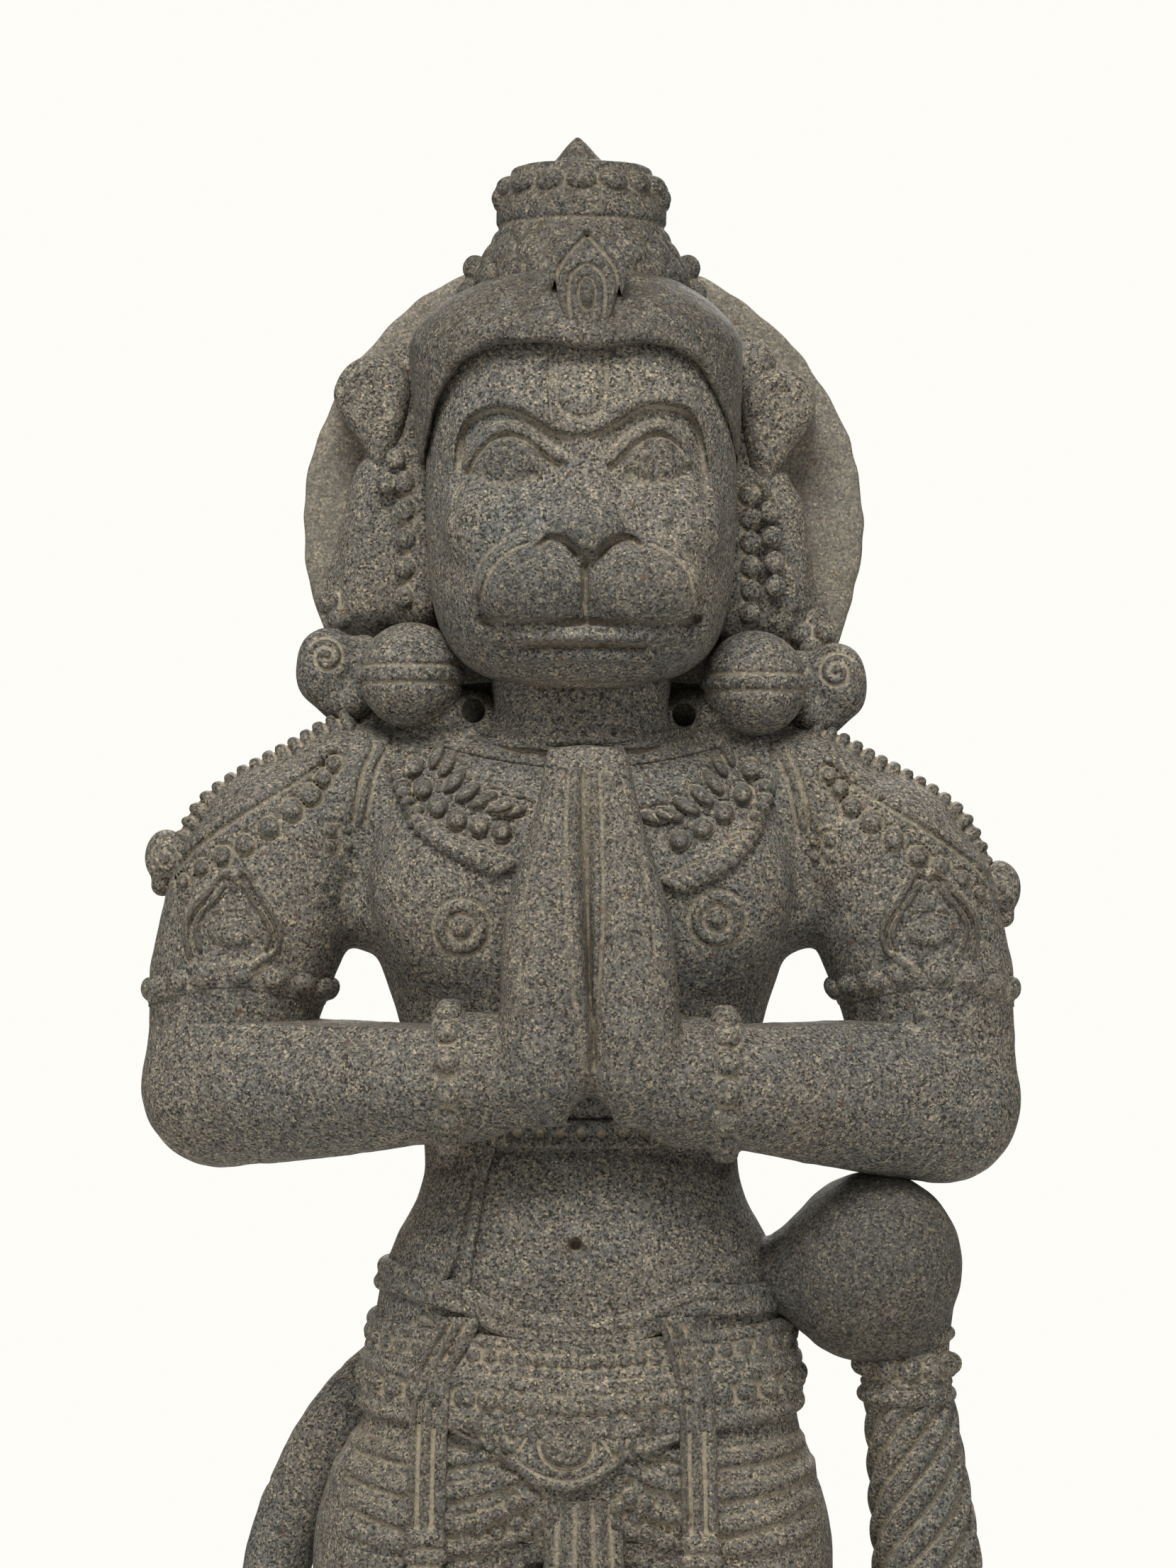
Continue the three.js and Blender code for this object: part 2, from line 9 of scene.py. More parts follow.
import bpy
import numpy as np
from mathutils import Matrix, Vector


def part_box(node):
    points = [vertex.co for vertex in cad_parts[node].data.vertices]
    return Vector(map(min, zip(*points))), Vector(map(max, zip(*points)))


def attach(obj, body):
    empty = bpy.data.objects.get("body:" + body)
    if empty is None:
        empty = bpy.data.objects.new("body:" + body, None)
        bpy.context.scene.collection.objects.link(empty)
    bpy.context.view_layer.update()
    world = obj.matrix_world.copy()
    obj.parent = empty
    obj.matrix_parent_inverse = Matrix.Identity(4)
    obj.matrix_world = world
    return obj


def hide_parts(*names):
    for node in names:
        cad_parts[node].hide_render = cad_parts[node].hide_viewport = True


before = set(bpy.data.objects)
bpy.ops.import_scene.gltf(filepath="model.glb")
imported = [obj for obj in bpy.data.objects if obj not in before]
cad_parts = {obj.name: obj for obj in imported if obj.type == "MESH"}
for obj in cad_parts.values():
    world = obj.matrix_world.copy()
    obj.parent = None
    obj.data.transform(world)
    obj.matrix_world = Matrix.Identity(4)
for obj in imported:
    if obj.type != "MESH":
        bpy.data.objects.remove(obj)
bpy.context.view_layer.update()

MM = 0.001
FAR = 1000.0
RIGHT, LEFT = -1, 1
SIDES = {"right": RIGHT, "left": LEFT}


# ---- Places taken from the frame, in millimetres -------------------------------------------------


class Box:
    """A CAD node's box: lowest and highest corner, middle and size."""

    def __init__(self, node):
        low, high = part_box(node)
        self.lo = np.array(low) / MM
        self.hi = np.array(high) / MM
        self.mid = (self.lo + self.hi) / 2
        self.size = self.hi - self.lo


B = {node: Box(node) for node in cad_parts}
CHIN = B["head"].hi[2] - 269.6
CROWN_TOP = B["finial"].hi[2]
NECK = B["torso"].hi[2] - 5.6
WAIST = B["torso"].lo[2] + 4.2
BASE_TOP = B["lotus_base"].hi[2]

# The viewer stands here; front details are placed by where they are seen on the plane y = FRONT.
EYE = np.array((4.75, -2800.0, CROWN_TOP - 454.5))
FRONT = -50.0


def sight(x, z, y):
    """The point at depth y on the viewer's line through (x, z) of the front plane."""
    s = (y - EYE[1]) / (FRONT - EYE[1])
    return np.array((EYE[0] + (x - EYE[0]) * s, y, EYE[2] + (z - EYE[2]) * s))


# ---- Distance fields -----------------------------------------------------------------------------


def smooth_min(a, b, k):
    if k <= 0:
        return np.minimum(a, b)
    h = np.maximum(k - np.abs(a - b), 0) / k
    return np.minimum(a, b) - h * h * k * 0.25


class Shape:
    """A distance function f(x, y, z) with the box that holds its surface."""

    def __init__(self, lo, hi, f):
        self.lo, self.hi, self.f = np.array(lo, float), np.array(hi, float), f


def ball(c, r):
    """A sphere, or an ellipsoid when r holds three half sizes."""
    c = np.array(c, float)
    r = np.array([r, r, r] if np.isscalar(r) else r, float)

    def f(x, y, z):
        u, v, w = (x - c[0]) / r[0], (y - c[1]) / r[1], (z - c[2]) / r[2]
        k0 = np.sqrt(u * u + v * v + w * w)
        k1 = np.sqrt((u / r[0]) ** 2 + (v / r[1]) ** 2 + (w / r[2]) ** 2) + 1e-6
        return k0 * (k0 - 1) / k1

    return Shape(c - r, c + r, f)


def turned_ball(c, r, axes):
    """An ellipsoid of half sizes r along three unit axes."""
    c, r = np.array(c, float), np.array(r, float)
    m = np.array(axes, float)
    reach = np.sqrt(((m.T * r) ** 2).sum(1))

    def f(x, y, z):
        dx, dy, dz = x - c[0], y - c[1], z - c[2]
        uvw = [(m[i, 0] * dx + m[i, 1] * dy + m[i, 2] * dz) / r[i] for i in range(3)]
        k0 = np.sqrt(sum(q * q for q in uvw))
        k1 = np.sqrt(sum((q / s) ** 2 for q, s in zip(uvw, r))) + 1e-6
        return k0 * (k0 - 1) / k1

    return Shape(c - reach, c + reach, f)


def rod(a, b, ra, rb=None):
    """A round rod from a to b whose radius runs from ra to rb."""
    a, b = np.array(a, float), np.array(b, float)
    rb = ra if rb is None else rb
    ab = b - a
    length2 = max(float(ab @ ab), 1e-9)

    def f(x, y, z):
        px, py, pz = x - a[0], y - a[1], z - a[2]
        t = np.clip((px * ab[0] + py * ab[1] + pz * ab[2]) / length2, 0, 1)
        dx, dy, dz = px - t * ab[0], py - t * ab[1], pz - t * ab[2]
        return np.sqrt(dx * dx + dy * dy + dz * dz) - (ra + (rb - ra) * t)

    r = max(ra, rb)
    return Shape(np.minimum(a, b) - r, np.maximum(a, b) + r, f)


def chain(points, radii):
    """Rods joined end to end."""
    points = [np.array(p, float) for p in points]
    radii = np.broadcast_to(radii, len(points))
    return [rod(p, q, s, t) for p, q, s, t in zip(points, points[1:], radii, radii[1:])]


def block(lo, hi, rounding=0.0):
    lo, hi = np.array(lo, float), np.array(hi, float)
    c, h = (lo + hi) / 2, (hi - lo) / 2 - rounding

    def f(x, y, z):
        qx, qy, qz = np.abs(x - c[0]) - h[0], np.abs(y - c[1]) - h[1], np.abs(z - c[2]) - h[2]
        out = np.sqrt(np.maximum(qx, 0) ** 2 + np.maximum(qy, 0) ** 2 + np.maximum(qz, 0) ** 2)
        return out + np.minimum(np.maximum(np.maximum(qx, qy), qz), 0) - rounding

    return Shape(lo, hi, f)


def smooth_rows(rows, steps=12):
    """Rows of numbers, filled in between by a Catmull-Rom curve."""
    rows = np.array(rows, float)
    p = np.vstack([2 * rows[0] - rows[1], rows, 2 * rows[-1] - rows[-2]])
    out = []
    for i in range(1, len(p) - 2):
        for t in np.arange(steps) / steps:
            out.append(
                0.5
                * (
                    2 * p[i]
                    + (p[i + 1] - p[i - 1]) * t
                    + (2 * p[i - 1] - 5 * p[i] + 4 * p[i + 1] - p[i + 2]) * t * t
                    + (3 * p[i] - p[i - 1] - 3 * p[i + 1] + p[i + 2]) * t**3
                )
            )
    out.append(rows[-1])
    return np.array(out)


def column(rows, x=0.0, power=2.0, soft=True):
    """An upright body from rows of [z, half width, half depth, middle of the depth, shift of x]."""
    rows = [list(r) + [0.0] * (5 - len(r)) for r in rows]
    rows = sorted(rows, key=lambda r: r[0])
    table = smooth_rows(rows) if soft else np.array(rows, float)
    zs, a_, b_, y_, x_ = table.T
    slope_ = np.abs(np.gradient(np.minimum(a_, b_), zs + np.arange(len(zs)) * 1e-6))

    def f(x0, y0, z0):
        z1 = np.asarray(z0).ravel()
        form = np.asarray(z0).shape
        get = lambda col: np.interp(z1, zs, col).reshape(form).astype(np.float32)
        a, b, cy, cx, slope = get(a_), get(b_), get(y_), get(x_), get(slope_)
        dx, dy = np.abs(x0 - x - cx), np.abs(y0 - cy)
        u, v = dx / a, dy / b
        if power == 2.0:
            q = np.sqrt(u * u + v * v) + 1e-6
            grad = np.sqrt((u / a) ** 2 + (v / b) ** 2) / q
        else:
            q = (u**power + v**power) ** (1 / power) + 1e-6
            grad = np.sqrt((u ** (power - 1) / a) ** 2 + (v ** (power - 1) / b) ** 2) / q ** (power - 1)
        side = (q - 1) / np.maximum(grad, 0.4 / np.maximum(a, b)) / np.sqrt(1 + np.minimum(slope, 3) ** 2)
        return np.maximum(side, np.maximum(zs[0] - z0, z0 - zs[-1]))

    half = np.array([a_.max() + np.abs(x_).max(), b_.max()])
    lo = [x - half[0], y_.min() - half[1], zs[0]]
    hi = [x + half[0], y_.max() + half[1], zs[-1]]
    return Shape(lo, hi, f)


class Field:
    """A distance field on a grid, in millimetres."""

    def __init__(self, lo, hi, cell):
        self.cell = float(cell)
        self.lo = np.array(lo, float) - 2.5 * cell
        self.n = np.ceil((np.array(hi, float) + 2.5 * cell - self.lo) / cell).astype(int) + 1
        self.d = np.full(self.n, FAR, np.float32)
        self.axes = [(self.lo[i] + cell * np.arange(self.n[i])).astype(np.float32) for i in range(3)]

    def window(self, lo, hi):
        a = np.clip(np.floor((lo - self.lo) / self.cell).astype(int), 0, self.n)
        b = np.clip(np.ceil((hi - self.lo) / self.cell).astype(int) + 1, 0, self.n)
        return tuple(slice(i, j) for i, j in zip(a, b)), bool((b > a).all())

    def grid(self, win):
        x, y, z = (axis[s] for axis, s in zip(self.axes, win))
        return x[:, None, None], y[None, :, None], z[None, None, :]

    def drawn(self, shapes, margin):
        """The nearest of some shapes, as (window, distances), or None when all lie outside."""
        shapes = [shapes] if isinstance(shapes, Shape) else list(shapes)
        lo = np.min([s.lo for s in shapes], axis=0) - margin
        hi = np.max([s.hi for s in shapes], axis=0) + margin
        win, real = self.window(lo, hi)
        if not real:
            return None
        if len(shapes) == 1:
            return win, shapes[0].f(*self.grid(win)).astype(np.float32)
        out = np.full([s.stop - s.start for s in win], FAR, np.float32)
        first = [s.start for s in win]
        for shape in shapes:
            w, real = self.window(shape.lo - margin, shape.hi + margin)
            if real:
                inner = tuple(slice(s.start - f, s.stop - f) for s, f in zip(w, first))
                out[inner] = np.minimum(out[inner], shape.f(*self.grid(w)))
        return win, out

    def add(self, shapes, k=0.0):
        made = self.drawn(shapes, max(k, 0) + 2 * self.cell + 2)
        if made:
            self.d[made[0]] = smooth_min(self.d[made[0]], made[1], k)
        return self

    def cut(self, shapes, k=0.0):
        made = self.drawn(shapes, max(k, 0) + 2 * self.cell + 2)
        if made:
            self.d[made[0]] = -smooth_min(-self.d[made[0]], made[1], k)
        return self

    def keep(self, f):
        """Keeps what lies where f(x, y, z) is below 0."""
        whole = tuple(slice(0, m) for m in self.n)
        self.d = np.maximum(self.d, f(*self.grid(whole)).astype(np.float32))
        return self

    def at(self, p):
        """The distance at points, between the grid's nodes."""
        q = (np.asarray(p, float) - self.lo) / self.cell
        q = np.clip(q, 0, self.n - 1.001)
        i = q.astype(int)
        t = (q - i).astype(np.float32)
        out = 0
        for corner in range(8):
            o = [(corner >> 2) & 1, (corner >> 1) & 1, corner & 1]
            w = np.prod([np.where(o[a], t[:, a], 1 - t[:, a]) for a in range(3)], axis=0)
            out = out + w * self.d[i[:, 0] + o[0], i[:, 1] + o[1], i[:, 2] + o[2]]
        return out

    def cast(self, starts, ways, reach):
        """Where rays first meet the surface, from outside."""
        starts = np.atleast_2d(np.asarray(starts, float))
        ways = np.broadcast_to(np.asarray(ways, float), starts.shape)
        steps = np.arange(0, reach, self.cell * 0.5)
        hit = np.full(len(starts), np.nan)
        before = np.full(len(starts), FAR)
        for s in steps:
            now = self.at(starts + ways * s)
            fresh = np.isnan(hit) & (now <= 0)
            share = before / np.maximum(before - now, 1e-6)
            hit = np.where(fresh, s - self.cell * 0.5 * (1 - np.clip(share, 0, 1)), hit)
            before = now
        hit = np.where(np.isnan(hit), reach, hit)
        return starts + ways * hit[:, None]


def on_front(field, points, near=-215.0, reach=330.0):
    """Points (x, z) seen on the front plane, brought to the surface."""
    starts = np.array([sight(x, z, near) for x, z in points])
    ways = starts - EYE
    return field.cast(starts, ways / np.linalg.norm(ways, axis=1)[:, None], reach)


def curve(points, count=40):
    """An even run of points along a smooth curve through a few."""
    rows = smooth_rows(points, 10)
    at = np.concatenate([[0], np.cumsum(np.linalg.norm(np.diff(rows, axis=0), axis=1))])
    want = np.linspace(0, at[-1], count)
    return np.stack([np.interp(want, at, rows[:, i]) for i in range(rows.shape[1])], 1)


def lift_front(field, lo, hi, back, height):
    """Moves the front surface out by height(x, z), inside a box of x and z and before the depth back."""
    win, real = field.window(np.array([lo[0], field.lo[1], lo[1]]), np.array([hi[0], back, hi[1]]))
    if real:
        x, _, z = field.grid(win)
        field.d[win] -= height(x[:, 0, :], z[0]).astype(np.float32)[:, None, :]


def line_map(line, reach):
    """A function of x and z: the distance to a line of points, up to reach."""

    def f(x, z):
        out = np.full(np.broadcast(x, z).shape, float(reach))
        xs, zs = x.ravel(), z.ravel()
        for p, q in zip(line[:-1], line[1:]):
            lo, hi = np.minimum(p, q) - reach, np.maximum(p, q) + reach
            i = slice(*np.searchsorted(xs, (lo[0], hi[0])))
            j = slice(*np.searchsorted(zs, (lo[2], hi[2])))
            px, pz = xs[i, None] - p[0], zs[None, j] - p[2]
            ax, az = q[0] - p[0], q[2] - p[2]
            t = np.clip((px * ax + pz * az) / max(ax * ax + az * az, 1e-6), 0, 1)
            out[i, j] = np.minimum(out[i, j], np.hypot(px - t * ax, pz - t * az))
        return out

    return f


def emboss(field, points, width, height, count=None, deep=30.0):
    """Raises a soft ridge along a seen curve, or sinks a groove when height is below 0."""
    points = np.asarray(points, float)
    if count is None:
        count = int(np.clip(np.linalg.norm(np.diff(points, axis=0), axis=1).sum() / 3, 6, 90))
    line = on_front(field, curve(points, count))
    near = line_map(line, width)
    lo, hi = line.min(0) - width, line.max(0) + width

    def bump(x, z):
        return 1.35 * height * (1 - (near(x, z) / width) ** 2) ** 1.5

    lift_front(field, lo[[0, 2]], hi[[0, 2]], line[:, 1].max() + deep, bump)


def stamp(field, place, half, height, turn=0.0, edge=1.0, deep=30.0):
    """Raises a seen oval of half sizes half, turned by an angle; a small edge makes its top flat."""
    at = on_front(field, [place])[0]
    a, b = half
    cos, sin = math.cos(turn), math.sin(turn)
    reach = max(a, b)

    def dome(x, z):
        u = ((x - at[0]) * cos + (z - at[2]) * sin) / a
        v = (-(x - at[0]) * sin + (z - at[2]) * cos) / b
        q = np.clip(1 - (u * u + v * v), 0, 1)
        return 1.3 * height * np.sqrt(np.clip(q / edge, 0, 1))

    lift_front(field, at[[0, 2]] - reach, at[[0, 2]] + reach, at[1] + deep, dome)


def bead(field, place, r, height, groove=1.3, turn=0.0):
    """A round bead in its own cut border."""
    half = (r, r) if np.isscalar(r) else r
    stamp(field, place, (half[0] + 2.2, half[1] + 2.2), -groove, turn, edge=0.15)
    stamp(field, place, half, height + groove, turn, edge=0.75)


def spaced(points, gap):
    """Points every gap along a smooth curve."""
    rows = curve(points, 200)
    at = np.concatenate([[0], np.cumsum(np.linalg.norm(np.diff(rows, axis=0), axis=1))])
    count = max(2, int(round(at[-1] / gap)) + 1)
    want = np.linspace(0, at[-1], count)
    return np.stack([np.interp(want, at, rows[:, i]) for i in range(rows.shape[1])], 1)


def slopes(field, p):
    """The unit outward direction of the field at points."""
    h = field.cell
    g = np.stack([field.at(p + np.eye(3)[i] * h) - field.at(p - np.eye(3)[i] * h) for i in range(3)], 1)
    return g / (np.linalg.norm(g, axis=1)[:, None] + 1e-9)


def along(line, normals):
    """Directions along a line of points and across it."""
    ahead = np.gradient(line, axis=0)
    ahead /= np.linalg.norm(ahead, axis=1)[:, None] + 1e-9
    across = np.cross(normals, ahead)
    across /= np.linalg.norm(across, axis=1)[:, None] + 1e-9
    return ahead, across


def twist(field, line, radius, lean=0.9, k=1.0, flat=0.75):
    """A twisted cord: slanting strands laid along a line of points on the surface."""
    normals = slopes(field, line)
    ahead, across = along(line, normals)
    for p, n, t, s in zip(line, normals, ahead, across):
        strand = t * math.cos(lean) + s * math.sin(lean)
        other = np.cross(n, strand)
        field.add(turned_ball(p, (radius * 1.2, radius * 0.5, radius * flat), (strand, other, n)), k)


def studs(field, line, r, flat=0.6, sink=0.0, k=0.8, long=1.0):
    """Beads laid on a line of points on the surface."""
    normals = slopes(field, line)
    ahead, across = along(line, normals)
    for p, n, t, s in zip(line, normals, ahead, across):
        field.add(turned_ball(p - n * sink, (r * long, r, r * flat), (t, s, n)), k)


def around(field, heights, middle=(0.0, -5.0), count=72, start=0.0, stop=2 * math.pi, far=260.0):
    """Points round an upright body, at the height that heights(angle) gives; angle -pi/2 is its front."""
    angles = np.linspace(start, stop, count)
    ways = np.stack([-np.cos(angles), -np.sin(angles), np.zeros(count)], 1)
    centre = np.stack([np.full(count, middle[0]), np.full(count, middle[1]), [heights(t) for t in angles]], 1)
    return field.cast(centre - ways * far, ways, far)


def shell(field, lift, region, depth=6.0):
    """A new field: the skin of a body inside a region, lifted off it."""
    skin = Field.__new__(Field)
    skin.cell, skin.lo, skin.n, skin.axes = field.cell, field.lo, field.n, field.axes
    skin.d = np.maximum(field.d - lift, -(field.d + depth))
    skin.keep(region)
    return skin


def surface(field):
    """The zero surface of a field as (vertices, quads), one vertex a cell."""
    d = field.d
    inside = d < 0
    total = np.zeros([m - 1 for m in d.shape], np.uint8)
    for o in np.ndindex(2, 2, 2):
        total += inside[
            o[0] : d.shape[0] - 1 + o[0], o[1] : d.shape[1] - 1 + o[1], o[2] : d.shape[2] - 1 + o[2]
        ]
    cells = np.argwhere((total > 0) & (total < 8))
    ids = np.full(total.shape, -1, np.int32)
    ids[tuple(cells.T)] = np.arange(len(cells))
    sums = np.zeros((len(cells), 3))
    counts = np.zeros(len(cells))
    for axis in range(3):
        others = [a for a in range(3) if a != axis]
        for o in np.ndindex(2, 2):
            first = cells.copy()
            first[:, others[0]] += o[0]
            first[:, others[1]] += o[1]
            last = first.copy()
            last[:, axis] += 1
            d0, d1 = d[tuple(first.T)], d[tuple(last.T)]
            crossed = (d0 < 0) != (d1 < 0)
            t = np.where(crossed, d0 / np.where(crossed, d0 - d1, 1), 0)
            point = first.astype(float)
            point[:, axis] += t
            sums += point * crossed[:, None]
            counts += crossed
    vertices = field.lo + field.cell * sums / counts[:, None]
    quads = []
    for axis in range(3):
        a, b = [(1, 2), (2, 0), (0, 1)][axis]
        low = [slice(None)] * 3
        high = [slice(None)] * 3
        low[axis], high[axis] = slice(0, -1), slice(1, None)
        s0, s1 = inside[tuple(low)], inside[tuple(high)]
        edges = np.argwhere(s0 != s1)
        edges = edges[(edges[:, a] > 0) & (edges[:, b] > 0)]
        edges = edges[(edges[:, a] < d.shape[a] - 1) & (edges[:, b] < d.shape[b] - 1)]
        out = s0[tuple(edges.T)]
        corners = []
        for da, db in ((1, 1), (0, 1), (0, 0), (1, 0)):
            cell = edges.copy()
            cell[:, a] -= da
            cell[:, b] -= db
            corners.append(ids[tuple(cell.T)])
        quad = np.stack(corners, 1)
        quad[~out] = quad[~out][:, ::-1]
        quads.append(quad)
    return vertices, np.concatenate(quads)


def main_body(vertices, quads):
    """The parts of a mesh that are more than crumbs."""
    label = np.arange(len(vertices))
    for _ in range(400):
        low = label[quads].min(1)
        fresh = label.copy()
        np.minimum.at(fresh, quads.ravel(), np.repeat(low, 4))
        fresh = fresh[fresh]
        if (fresh == label).all():
            break
        label = fresh
    counts = np.bincount(label, minlength=len(vertices))
    keep = counts[label] > max(60, 0.02 * len(vertices))
    if keep.all():
        return vertices, quads
    order = np.cumsum(keep) - 1
    return vertices[keep], order[quads[keep[quads].all(1)]]


# ---- Meshes --------------------------------------------------------------------------------------

rng = np.random.default_rng(7)
WAVES = [
    (rng.normal(size=3) / size, rng.uniform(0, 6.28)) for size in (42, 30, 21, 15, 11, 8) for _ in range(4)
]


def unevenness(p):
    """A slow, hand-made wander of a surface at points p, from -1 to 1."""
    out = np.zeros(len(p))
    for way, phase in WAVES:
        out += np.sin(p @ way * 2.4 + phase)
    return out / len(WAVES) * 2.0


OFFSETS = np.array([o for o in np.ndindex(3, 3, 3) if o != (1, 1, 1)], float) - 1
OFFSETS /= np.linalg.norm(OFFSETS, axis=1)[:, None]


def hollowness(field, vertices, radius):
    """How much stone stands round each vertex: above 0 in a groove, below 0 on a ridge."""
    total = np.zeros(len(vertices))
    for way in OFFSETS:
        total += np.clip(field.at(vertices + way * radius), -radius, radius)
    return -total / len(OFFSETS) / radius


def carve(name, field, material, rough=0.35, tint=None):
    """Meshes a field as the piece that stands for the CAD node name; tint(x, y, z) above 0 darkens it."""
    vertices, quads = main_body(*surface(field))
    fine = hollowness(field, vertices, 2.2 * field.cell)
    wide = hollowness(field, vertices, 5.0 * field.cell)
    mesh = bpy.data.meshes.new(name)
    mesh.vertices.add(len(vertices))
    mesh.loops.add(quads.size)
    mesh.polygons.add(len(quads))
    mesh.loops.foreach_set("vertex_index", quads.ravel().astype(np.int32))
    mesh.polygons.foreach_set("loop_start", np.arange(0, quads.size, 4, dtype=np.int32))
    mesh.vertices.foreach_set("co", (vertices * MM).ravel())
    mesh.update(calc_edges=True)
    normals = np.empty(len(vertices) * 3)
    mesh.vertices.foreach_get("normal", normals)
    moved = vertices + normals.reshape(-1, 3) * (unevenness(vertices) * rough)[:, None]
    mesh.vertices.foreach_set("co", (moved * MM).ravel())
    mesh.polygons.foreach_set("use_smooth", np.ones(len(quads), bool))
    shade = np.zeros(len(moved)) if tint is None else tint(*moved.T)
    for label, values in (("groove", fine), ("hollow", wide), ("tint", shade)):
        layer = mesh.attributes.new(label, "FLOAT", "POINT")
        layer.data.foreach_set("value", values.astype(np.float32))
    mesh.materials.append(material)
    mesh.update()
    piece = bpy.data.objects.new(name, mesh)
    bpy.context.scene.collection.objects.link(piece)
    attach(piece, "root")
    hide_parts(name)
    return piece


# ---- Granite -------------------------------------------------------------------------------------


class Nodes:
    """Adds nodes to a material and joins them."""

    def __init__(self, material):
        self.tree = material.node_tree
        self.tree.nodes.clear()

    def new(self, kind, inputs=(), **settings):
        node = self.tree.nodes.new(kind)
        for key, value in settings.items():
            setattr(node, key, value)
        for key, value in dict(inputs).items():
            self.feed(node.inputs[key], value)
        return node

    def feed(self, socket, value):
        if isinstance(value, bpy.types.NodeSocket):
            self.tree.links.new(value, socket)
        else:
            socket.default_value = value

    def math(self, operation, a, b=0.0, c=0.0, clamp=False):
        node = self.new("ShaderNodeMath", operation=operation, use_clamp=clamp)
        for socket, value in zip(node.inputs, (a, b, c)):
            self.feed(socket, value)
        return node.outputs[0]

    def mix(self, share, a, b, blend="MIX"):
        node = self.new("ShaderNodeMix", data_type="RGBA", blend_type=blend)
        self.feed(node.inputs[0], share)
        self.feed(node.inputs[6], a)
        self.feed(node.inputs[7], b)
        return node.outputs[2]

    def ramp(self, value, stops, interpolation="LINEAR"):
        node = self.new("ShaderNodeValToRGB", {0: value})
        node.color_ramp.interpolation = interpolation
        elements = node.color_ramp.elements
        while len(elements) < len(stops):
            elements.new(0.5)
        for element, (place, colour) in zip(elements, stops):
            element.position = place
            element.color = colour if len(colour) == 4 else (*colour, 1)
        return node.outputs[0]

    def span(self, value, low, high, out_low=0.0, out_high=1.0):
        node = self.new(
            "ShaderNodeMapRange", {0: value, 1: low, 2: high, 3: out_low, 4: out_high}, clamp=True
        )
        return node.outputs[0]


def grey(v, warm=0.0):
    """A stone colour of lightness v, towards tan when warm is above 0 and towards blue below."""
    return (v * (1.05 + 0.14 * warm), v * (0.975 + 0.01 * warm), v * (0.81 - 0.17 * warm), 1)


def level(v, warm=0.0):
    """A factor that only lightens or darkens, with a little warmth or cold."""
    return (v * (1 + 0.05 * warm), v, v * (1 - 0.06 * warm), 1)


